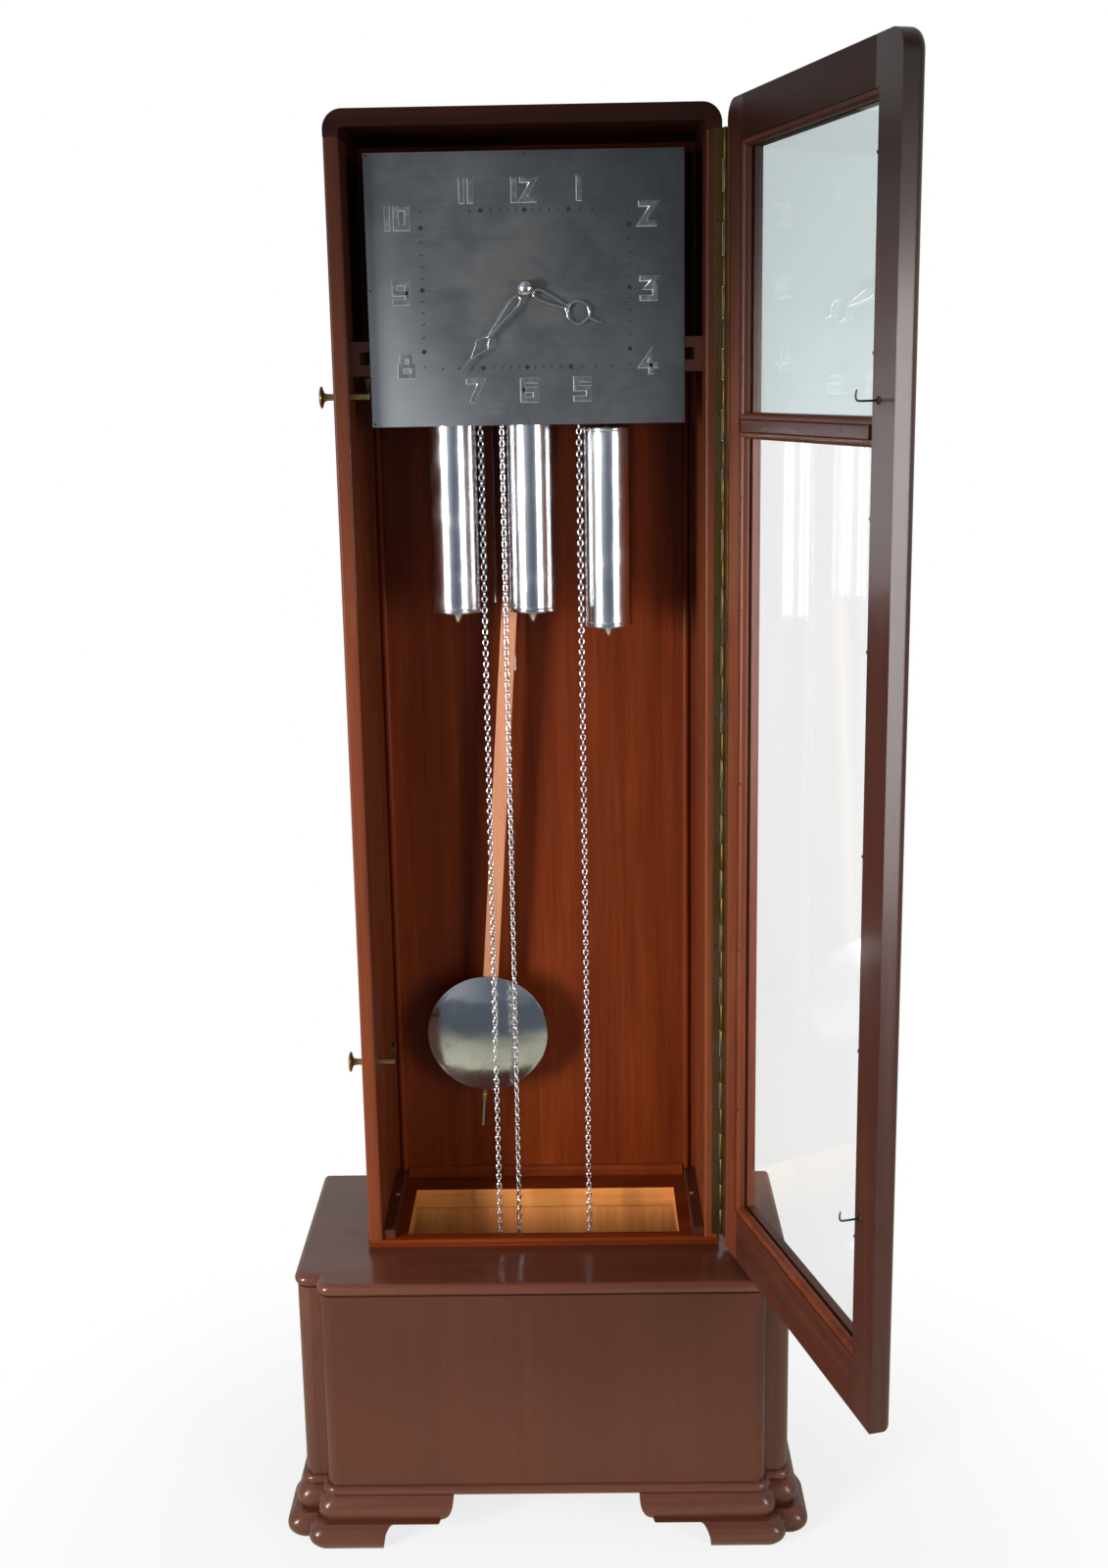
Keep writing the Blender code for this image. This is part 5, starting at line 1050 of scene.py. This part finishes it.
def makeLatches():
    wide, long, half = latch["clawWide"], latch["clawLong"], latch["clawThick"] / 2
    inside, reach, seat, thin = door["inside"], latch["hookReach"], latch["hookSeat"], latch["hookWire"]
    outline = [(-wide / 2, 0.0), (wide * 2, wide), (wide * 2, long), (-wide / 2, long),
               (-wide / 2, long - wide), (wide, long - wide), (wide, wide * 1.5)]
    lean = (doorFrame @ Matrix.Translation((latch["claw"] - hang["pinX"], 0.0, 0.0))
            @ Matrix.Rotation(pi / 2, 4, "Z"))
    for which in ("upper", "lower"):
        body = which + "_latch"
        where = clockFrame @ Matrix.Translation((0.0, latch["y"], latch[which]))
        claw = prism(outline, "x", latch["claw"] - half, latch["claw"] + half)
        dress(body + "_knob", lathe(knobProfile(), "x", steps=36), metals["brass"], body, where,
              ["latch_" + which])
        dress(body + "_claw", claw, metals["screwDark"], body, where)
        # wire hook on the door that the claw turns in behind
        foot = latch[which] - latch["hookDrop"]
        bend = [(inside + out, foot) for out in latch["hookStart"]]
        bend += [(reach - short, foot + up) for short, up in latch["hookBend"]]
        wire = sweep(smoothPath(bend, 5), lambda t: thin * (1.0 - 0.45 * t ** 3), thin)
        rose = [(seat * share, inside + out) for share, out in latch["hookRose"]]
        rose = lathe(rose, "x", (0.0, foot), 20)
        dress(which + "_hook_wire", together(wire, rose), metals["screwDark"], "door", lean,
              ["door_hook_" + which], 50)


# dial: raised numerals, minute track, nails
dial = {"face": hang["dialY"], "tall": 0.0308, "wide": 0.0232, "stroke": 0.0074, "crown": 0.0044,
        "raise": 0.0015, "gap": 0.0034, "narrow": 0.92, "trackX": 0.129, "trackLow": 1.5587,
        "trackHigh": 1.7479, "rubbed": (52, 53), "nailX": 0.1935, "nailZ": (1.4915, 1.654, 1.814),
        "midNailZ": (1.491, 1.8145), "nailSize": (0.0015, 0.0007), "sunk": 0.00005, "markSunk": 0.00006}
dash = [(-0.0007, -0.0023), (0.0007, -0.0023), (0.00045, 0.0023), (-0.00045, 0.0023)]
lozenge = [(0.0, -0.0037), (0.0035, 0.0), (0.0, 0.0037), (-0.0035, 0.0)]
digitStrokes = {  # points of each stroke, and whether it closes
    "0": [([(0, 0), (1, 0), (1, 1), (0, 1)], True)],
    "1": [([(0.5, 0), (0.5, 1)], False)],
    "2": [([(0, 1), (1, 1), (0, 0), (1, 0)], False)],
    "3": [([(0, 1), (1, 1), (0.42, 0.56), (1, 0.56), (1, 0), (0, 0)], False)],
    "4": [([(0.68, 0), (0.68, 1), (0, 0.32), (1.05, 0.32)], False)],
    "5": [([(1, 1), (0, 1), (0, 0.54), (1, 0.54), (1, 0), (0, 0)], False)],
    "6": [([(1, 1), (0, 1), (0, 0), (1, 0), (1, 0.52), (0.1, 0.52)], False)],
    "7": [([(0, 1), (1, 1), (0.3, 0)], False)],
    "8": [([(0, 0), (1, 0), (1, 0.52), (0, 0.52)], True),
          ([(0.17, 0.54), (0.17, 1), (0.83, 1), (0.83, 0.54)], False)],
    "9": [([(0.9, 0.48), (0, 0.48), (0, 1), (1, 1), (1, 0), (0, 0)], False)],
}
numerals = {  # middle x, middle z
    "12": (-0.0005, 1.7715), "1": (0.0675, 1.7725), "2": (0.152, 1.741), "3": (0.153, 1.652),
    "4": (0.1525, 1.563), "5": (0.069, 1.531), "6": (0.002, 1.5305), "7": (-0.066, 1.531),
    "8": (-0.1515, 1.562), "9": (-0.1555, 1.6515), "10": (-0.1575, 1.7405), "11": (-0.072, 1.7715),
}


def ridge(points, closed, lift):  # raised stroke with sloping sides along u, v points
    shape = bmesh.new()
    count = len(points)
    rows = []
    foot, crown = dial["stroke"] / 2, dial["crown"] / 2
    for i in range(count):
        here = Vector(points[i])
        legs = []
        if closed or i > 0:
            legs.append((here - Vector(points[i - 1])).normalized())
        if closed or i < count - 1:
            legs.append((Vector(points[(i + 1) % count]) - here).normalized())
        across = [Vector((-leg.y, leg.x)) for leg in legs]
        mitre = across[0] if len(across) == 1 else (across[0] + across[1])
        mitre = mitre.normalized()
        stretch = min(1.0 / max(mitre.dot(across[0]), 0.3), 2.2)
        row = []
        for offset, y in ((-foot, 0.0), (-crown, lift), (crown, lift), (foot, 0.0)):
            end = Vector((0.0, 0.0))
            if not closed and i in (0, count - 1):
                end = legs[0] * (-1 if i == 0 else 1) * abs(offset)
            spot = here + mitre * offset * stretch + end
            row.append(shape.verts.new((spot.x, dial["face"] - dial["sunk"] - y, spot.y)))
        rows.append(row)
    skinRows(shape, rows, closed)
    return shape if closed else capEnds(shape, rows)


def makeNumerals():
    shapes = []
    stroke, gap = take(dial, "stroke gap")
    high = dial["tall"] - stroke
    for text, (x, z) in numerals.items():
        full = dial["wide"] * (dial["narrow"] if len(text) > 1 else 1.0)
        widths = [stroke if c == "1" else full for c in text]
        left = x - (sum(widths) + gap * (len(text) - 1)) / 2
        for c, wide in zip(text, widths):
            across = wide - stroke
            for k, (points, closed) in enumerate(digitStrokes[c]):
                path = [(left + stroke / 2 + across * u, z - high / 2 + high * v) for u, v in points]
                shapes.append(ridge(path, closed, dial["raise"] - 0.0001 * k))
            left += wide + gap
    dress("dial_numerals", together(*shapes), metals["numeral"], sharp=20)


def makeMarks():
    arbor, face, sunk = hang["arborZ"], dial["face"], dial["sunk"]
    marks = {"minute_dashes": (dash, -0.0001, [], []), "hour_diamonds": (lozenge, -0.00015, [], [])}
    for minute in range(60):
        if minute in dial["rubbed"]:
            continue
        angle = radians(6 * minute)
        tall = dial["trackHigh"] - arbor if cos(angle) > 0 else arbor - dial["trackLow"]
        reach = min(dial["trackX"] / max(abs(sin(angle)), 1e-6), tall / max(abs(cos(angle)), 1e-6))
        outline, front, spots, turns = marks["minute_dashes" if minute % 5 else "hour_diamonds"]
        spots.append((reach * sin(angle), face - dial["markSunk"], arbor + reach * cos(angle)))
        turns.append(Matrix.Rotation(angle, 3, "Y"))
    for name, (outline, front, spots, turns) in marks.items():
        setOut(name, prism(outline, "y", front, sunk), spots, inks["mark"], "dial_metal", turns=turns)
    nails = [(sign * dial["nailX"], face - sunk, z) for sign in (-1, 1) for z in dial["nailZ"]]
    nails += [(0.0, face - sunk, z) for z in dial["midNailZ"]]
    head = screwHead(*dial["nailSize"], False)
    setOut("dial_nails", head, nails, inks["nail"], "steel", turns=towardsFront)


# hands of flat-sided wire and their round nut
hands = {"minuteY": 0.0342, "hourY": 0.0399, "half": 0.0006, "wire": 0.00125, "minuteHub": (0.0028, 0.0075),
         "hourHub": (0.0048, 0.0095), "ring": 0.01365, "ringZ": 0.0714, "ringWire": 0.00135,
         "tipWire": 0.0019, "needle": (0.1085, 0.1338), "tip": (0.085, 0.1032),
         "nutBack": 0.0333, "nutRadius": 0.0098, "nutTall": 0.01}
minuteHand = {"loop": [(0.0, 0.0125), (0.003, 0.015), (0.0048, 0.0205), (0.0052, 0.029), (0.0044, 0.04),
                       (0.0031, 0.054), (0.0018, 0.068), (0.0009, 0.0755)],
              "fin": [(0.001, 0.0735), (0.0026, 0.0775), (0.0056, 0.082), (0.009, 0.0868)],
              "edge": [(0.009, 0.0868), (0.005, 0.0965), (0.002, 0.106), (0.0004, 0.112)]}
hourHand = {"loop": [(0.0, 0.0105), (0.0042, 0.013), (0.0058, 0.0185), (0.0056, 0.025), (0.0042, 0.037),
                     (0.0024, 0.049), (0.001, 0.057)],
            "ear": [(0.0012, 0.0545), (0.0048, 0.0572), (0.0078, 0.0608)]}


def handLoop(points, wire):
    whole = list(points) + [(-x, z) for x, z in reversed(points) if x > 0.0]
    return sweep(smoothPath(whole, 5, True), wire, hands["half"], True)


def handWire(points, sign, wire):
    return sweep(smoothPath([(sign * x, z) for x, z in points], 4), wire, hands["half"])


def handPoint(ends, wire):
    low, high = ends
    return sweep([(0.0, low + (high - low) * k / 6) for k in range(7)], wire, hands["half"])


def handHub(radii):
    inner, outer = radii
    half = hands["half"]
    square = [(inner, -half), (outer, -half), (outer, half), (inner, half), (inner, -half)]
    return lathe(square, "y", steps=32)


def dressHand(which, shapes, turned):
    where = turned @ Matrix.Translation((0.0, hands[which + "Y"], 0.0))
    dress(which + "_hand_wire", together(*shapes), metals["handChrome"], which + "_work", where,
          [which + "_hand"], 50)


def makeHands():
    wire, half = take(hands, "wire half")
    shapes = [handLoop(minuteHand["loop"], wire)]
    for sign in (-1, 1):
        shapes.append(handWire(minuteHand["fin"], sign, lambda t: wire * (1.0 - 0.45 * t)))
        shapes.append(handWire(minuteHand["edge"], sign, lambda t: wire * (0.55 + 0.45 * t)))
    shapes.append(handPoint(hands["needle"], lambda t: wire * (1.15 - 0.85 * t)))
    shapes.append(handHub(hands["minuteHub"]))
    dressHand("minute", shapes, minuteFrame)
    shapes = [handLoop(hourHand["loop"], wire * 1.1)]
    angles = [2 * pi * k / 40 for k in range(40)]
    ring = [(hands["ring"] * sin(a), hands["ringZ"] + hands["ring"] * cos(a)) for a in angles]
    shapes.append(sweep(ring, hands["ringWire"], half, True))
    shapes.append(handPoint(hands["tip"], lambda t: hands["tipWire"] * (1.0 - 0.75 * t)))
    for sign in (-1, 1):  # small ears where the stem meets the ring
        shapes.append(handWire(hourHand["ear"], sign, wire * 0.9))
    shapes.append(handHub(hands["hourHub"]))
    dressHand("hour", shapes, hourFrame)
    back, radius, tall = take(hands, "nutBack nutRadius nutTall")
    profile = [(radius * 0.55, back), (radius * 0.86, back - tall * 0.05),
               (radius * 0.97, back - tall * 0.22)]
    profile += [(radius * cos(a), back - tall * (0.34 + 0.66 * sin(a))) for a in quarter(10)[:-1]]
    profile.append((0.0, back - tall))
    ball = lathe(profile, "y", steps=40)
    dress("hand_nut_ball", ball, metals["chrome"], "minute_work", arborFrame, ["hand_nut"])


# weights, chains and chain wheels
hung = {"y": 0.1, "long": 0.2587, "eye": 0.022,
        "hookLoop": 0.0042, "hookWire": 0.0014, "sprocketZ": 1.6121, "sprocket": 0.018,
        "end": 0.115, "pitch": 0.0072, "linkLong": 0.0108, "linkWide": 0.0084, "linkWire": 0.00122,
        "firstLink": 0.0045, "lastLink": 0.006, "leadLinks": 3, "strandEnd": 0.0015, "blendEnd": 0.002,
        # radius and distance from the end; the rim's last rings keep the long reflections straight
        "cap": [(0.0, 0.003), (0.006, 0.0028), (0.01, 0.0012), (0.0299, 0.0004)],
        "rim": [(0.0311, 0.0002), (0.0315, 0.0012), (0.0315, 0.0042), (0.0308, 0.0052), (0.0305, 0.0062),
                (0.0305, 0.0076)],
        "finial": [(0.0295, 0.0), (0.012, 0.0016), (0.007, 0.0024), (0.0062, 0.006), (0.0046, 0.01),
                   (0.002, 0.0148), (0.0, 0.016)]}
weights = {  # x, top, side that the chain's free run hangs on, roll of its links
    "left": (-0.1, 1.5043, 1, 0.14), "centre": (0.0, 1.5043, -1, 0.45), "right": (0.1, 1.4831, -1, 0.08)}


def linkShape():  # oval ring standing along z, few faces because it is repeated
    wire = hung["linkWire"]
    radius = hung["linkWide"] / 2 - wire
    straight = hung["linkLong"] / 2 - wire - radius
    path = []
    for sign in (1, -1):
        for angle in halfTurn(4):
            path.append((sign * radius * cos(angle), sign * (straight + radius * sin(angle))))
    return sweep(path, wire, wire, True, 5)


def chainPiece(name, path, item, roll):
    spots = [clockFrame @ Vector((x, hung["y"], z)) for x, z in path]
    mesh = bpy.data.meshes.new(name + "_path")
    mesh.from_pydata(spots, [(i, i + 1) for i in range(len(path) - 1)], [])
    inputs = {"item": item, "finish": metals["chain"], "pitch": hung["pitch"], "roll": roll}
    return grow(name, newObject(name + "_path", mesh), linkage, inputs, 80)


def weightShape(x, top):
    bottom, rim = top - hung["long"], hung["rim"]
    profile = [(r, top + d) for r, d in hung["cap"]] + [(r, top - d) for r, d in rim]
    profile += [(r, bottom + d) for r, d in reversed(rim)] + [(r, bottom - d) for r, d in hung["finial"]]
    loop, middle = hung["hookLoop"], top + hung["eye"] - 0.006
    angles = [radians(-70 + 320 * k / 16) for k in range(17)]
    turn = [(loop * cos(a), middle + loop * sin(a)) for a in angles][::-1][4:]
    path = smoothPath([(0.0, top + 0.002), (0.0, top + 0.007)] + turn, 3)
    hook = sweep(path, hung["hookWire"], hung["hookWire"])
    bmesh.ops.translate(hook, verts=hook.verts, vec=(x, hung["y"], 0.0))
    return together(lathe(profile, "z", (x, hung["y"]), 72), hook)


def makeWeights():
    item = loose("link_item", linkShape())
    lift, ring, pitch = take(hung, "sprocketZ sprocket pitch")
    for name, (x, top, side, roll) in weights.items():
        body = "weight_%s_body" % name
        dress("weight_%s_chrome" % name, weightShape(x, top), metals["chrome"], body,
              stands=["weight_" + name])
        eye = top + hung["eye"]
        middle = x + side * ring
        free = x + 2 * side * ring
        strand = [(x, eye - hung["strandEnd"]), (x, lift)]
        strand += [(middle - side * ring * cos(a), lift + ring * sin(a)) for a in halfTurn(12)[1:]]
        piece = chainPiece("chain_%s_strand" % name, strand, item, roll)
        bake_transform(piece)
        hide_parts("chain_" + name)
        first = lift - hung["firstLink"]
        below = first - hung["leadLinks"] * pitch
        lead = chainPiece("chain_%s_lead" % name, [(free, first), (free, below + pitch / 2)], item, roll)
        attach(lead, "case")  # links beside the wheel stay, so the drawn-up run keeps clear of it
        run = [(free, below), (free, hung["end"] + hung["lastLink"])]
        piece = chainPiece("chain_%s_free_run" % name, run, item, roll + hung["leadLinks"] * pi / 2)
        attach(piece, "case")
        held = below + hung["linkLong"] / 2
        long = held - hung["end"]
        (long - hang["drop"]) / long
        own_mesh(piece)
    drop(item)


# pendulum: wooden rod with threaded stud, thin bob, rating nut
swing = {"wide": 0.0215, "thick": 0.009, "rodRound": 0.0016, "high": -0.0446, "low": -1.105, "stud": 0.0022,
         "studEnd": -1.2125, "threads": 64, "bobZ": -1.0684, "bobRadius": 0.0855, "bobBack": -0.0048,
         "bobRim": 0.004, "bobDome": 0.0105, "boss": 0.012, "nutRadius": 0.0046, "nutTall": 0.021,
         # bob's edge as inset and distance from the back, nut's neck as share of its radius and depth
         "bobEdge": [(0.001, 0.0), (0.0002, 0.0006), (0.0, 0.0016), (0.0, 0.003), (0.0004, 0.004),
                     (0.0016, 0.0044)],
         "nutNeck": [(0.8, 0.0), (0.86, 0.001), (0.66, 0.0042), (0.66, 0.006), (0.92, 0.0072), (1.0, 0.0084)]}


def makePendulum():
    half, deep, soft = swing["wide"] / 2, swing["thick"] / 2, swing["rodRound"]
    square = ((-half, -deep), (half, -deep), (half, deep), (-half, deep))
    rod = prism(rounded([(u, v, soft) for u, v in square], 4), "z", swing["low"], swing["high"])
    dress("pendulum_wooden_rod", rod, woods["rod"], "pendulum", pendulumFrame, ["pendulum_rod"])
    stud, turns = take(swing, "stud threads")
    start, end = swing["studEnd"] + 0.0012, swing["low"] + 0.004
    thread = [(0.0, swing["studEnd"])]
    thread += [(stud * (0.84 if k % 2 else 0.99), start + (end - start) * k / (turns - 1))
               for k in range(turns)]
    dress("pendulum_stud", lathe(thread, "z", steps=16), metals["steel"], "pendulum", pendulumFrame,
          sharp=60)
    radius, back, rim, dome = take(swing, "bobRadius bobBack bobRim bobDome")
    profile = [(radius * 0.93, back)] + [(radius - inset, back - depth) for inset, depth in swing["bobEdge"]]
    profile += [((radius - 0.0022) * (1 - k / 18), back - rim - 0.0005 - dome * (1 - (1 - k / 18) ** 2))
                for k in range(18)]
    profile.append((0.0, back - rim - 0.0005 - dome))
    plate = lathe(profile, "y", (0.0, swing["bobZ"]), 112)
    low, wide = swing["bobZ"] - radius, swing["boss"]
    boss = board((-wide / 2, wide / 2), (back - rim / 2, deep), (low + 0.0003, low + wide), 0.0008, 2)
    dress("pendulum_bob_disc", together(plate, boss), metals["bob"], "bob", pendulumFrame,
          ["pendulum_bob"], 28)
    high, nut = low - 0.0003, swing["nutRadius"]
    nutLow, bore = high - swing["nutTall"], stud + 0.0004
    profile = [(bore, high)] + [(nut * share, high - depth) for share, depth in swing["nutNeck"]]
    profile += [(nut * (0.93 if k % 2 else 1.0), high - 0.009 - (swing["nutTall"] - 0.011) * k / 7)
                for k in range(8)]
    profile += [(nut * 0.85, nutLow + 0.0006), (bore, nutLow)]
    dress("rating_nut_turned", lathe(profile, "z", steps=28), metals["brass"], "regulator",
          pendulumFrame, ["rating_nut"], 35)


def paint(node, finish):
    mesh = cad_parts[node].data
    mesh.materials.clear()
    mesh.materials.append(finish)


def paintFrame():
    finishes = {
        woods["edgeUpright"]: ("trunk_left_side", "trunk_right_side"),
        woods["insideUpright"]: ("trunk_back",),
        woods["rawUpright"]: ("base_back",),
        woods["caseEnd"]: ("seat_bracket_left", "seat_bracket_right"),
        woods["caseCrestShaded"]: ("seat_board",),
        metals["dial"]: ("dial",),
        metals["steel"]: ("suspension_spring", "chime_rods", "centre_arbor", "anchor"),
        metals["brass"]: ("movement_front_plate", "movement_back_plate", "minute_wheel", "hour_wheel",
                          "escape_wheel", "chain_wheel_left", "chain_wheel_centre", "chain_wheel_right",
                          "hammer_1", "hammer_2", "hammer_3", "hammer_4"),
    }
    for finish, nodes in finishes.items():
        for node in nodes:
            paint(node, finish)


# studio: pale floor, white surround, tall soft lamps left and right
studio = {"key": ((-1.95, -1.8, 1.1), (0.0, 0.08, 0.7), 0.66, 1.2, 14.3, 62.0),
          "fill": ((1.75, -1.95, 1.1), (0.0, 0.08, 0.75), 0.9, 1.5, 9.5, 80.0),
          "surround": (0.28, 0.28, 0.28), "room": (0.135, 0.158, 0.2), "roomLeft": (0.4, 0.43, 0.47),
          "behind": (0.62, 0.62, 0.62), "floor": (0.86, 0.86, 0.86), "floorSize": 14.0,
          "near": (0.86, 0.86, 0.68), "far": (0.36, 0.42, 0.54), "sensor": 36.0, "lens": 41.157,
          "camera": (0.0569, -2.2656, 1.5395), "yaw": -0.014, "pitch": 0.2203, "roll": -0.0171}


def lamp(name, spot, aim, wide, tall, power, beam):
    data = bpy.data.lights.new(name, "AREA")
    data.shape = "RECTANGLE"
    data.size = wide
    data.size_y = tall
    data.energy = power
    data.spread = radians(beam)
    made = newObject(name, data)
    spot = clockFrame @ Vector(spot)
    aim = clockFrame @ Vector(aim)
    made.location = spot
    made.rotation_euler = (aim - spot).to_track_quat("-Z", "Y").to_euler()


def makeSurround():
    world = bpy.data.worlds.new("studio")
    bpy.context.scene.world = world
    world.use_nodes = True
    world.node_tree.nodes.clear()
    bench = Bench(world.node_tree)
    path = bench.node("ShaderNodeLightPath", None, "Is Camera Ray")
    seen = path.largest(path.other("Is Transmission Ray"))
    heading = bench.part(bench.node("ShaderNodeTexCoord", None, "Generated"), "X")
    front = bench.tint(heading.between(-0.45, 0.08), studio["roomLeft"], studio["room"])
    room = bench.tint(heading.other("Y").between(-0.5, 0.15), front, studio["behind"])  # what metal mirrors
    light = bench.tint(path.other("Is Glossy Ray"), studio["surround"], room)
    colour = bench.tint(seen, light, (1.0, 1.0, 1.0))
    sky = bench.node("ShaderNodeBackground", {"Color": colour, "Strength": 1.0})
    bench.node("ShaderNodeOutputWorld", {"Surface": sky})


def makeFloor():
    shape = bmesh.new()
    bmesh.ops.create_grid(shape, x_segments=2, y_segments=2, size=studio["floorSize"])
    floor = loose("floor", shape)
    finish, bench = newFinish("pale_floor")
    speck = bench.noise(bench.place((0.5, 0.5, 0.5)), 2.0)
    tone = bench.tint(speck, studio["floor"], tuple(v * 1.03 for v in studio["floor"]))
    path = bench.node("ShaderNodeLightPath", None, "Is Camera Ray")
    spot = bench.place()
    away = bench.length(spot)
    ahead = bench.part(spot, "Y") * -1.0
    carpet = bench.tint(ahead.between(0.9, 1.7), studio["near"], studio["far"])  # what the bob mirrors
    tone = bench.tint(path.other("Is Glossy Ray"), tone, carpet)
    matt = bench.node("ShaderNodeBsdfDiffuse", {"Color": tone})
    glow = bench.node("ShaderNodeEmission", {"Color": (1.0, 1.0, 1.0, 1.0), "Strength": 1.0})
    share = path * (away.between(0.3, 1.0) * 0.22 + 0.78)
    mixed = bench.node("ShaderNodeMixShader", {0: share, 1: matt, 2: glow})
    bench.node("ShaderNodeOutputMaterial", {"Surface": mixed})
    floor.data.materials.append(finish)


def makeCamera():
    data = bpy.data.cameras.new("view")
    data.sensor_width = studio["sensor"]
    data.lens = studio["lens"]
    camera = newObject("view", data)
    yaw, pitch, roll = take(studio, "yaw pitch roll")
    ahead = Vector((sin(yaw) * cos(pitch), cos(yaw) * cos(pitch), -sin(pitch)))
    right = Vector((cos(yaw), -sin(yaw), 0.0))
    up = right.cross(ahead)
    across = right * cos(roll) + up * sin(roll)
    above = up * cos(roll) - right * sin(roll)
    turn = Matrix((across, above, -ahead)).transposed()
    camera.matrix_world = Matrix.Translation(clockFrame @ Vector(studio["camera"])) @ turn.to_4x4()
    bpy.context.scene.camera = camera


bpy.context.scene.view_settings.view_transform = "Standard"
makeSurround()
makeFloor()
lamp("key", *studio["key"])
lamp("fill", *studio["fill"])
makeCamera()
print("studio set")
makeBase()
makeFeet()
makeLining()
print("base dressed")
makeTrunk()
makeDoor()
makeHinge()
makeLatches()
print("trunk and door dressed")
makeNumerals()
makeMarks()
makeHands()
print("dial dressed")
makeWeights()
makePendulum()
paintFrame()
setOut("cleat_screws", screwHead(*cleatScrews["size"]), cleatScrews["spots"], metals["brassBright"], "brass")
print("weights, chains and pendulum dressed")
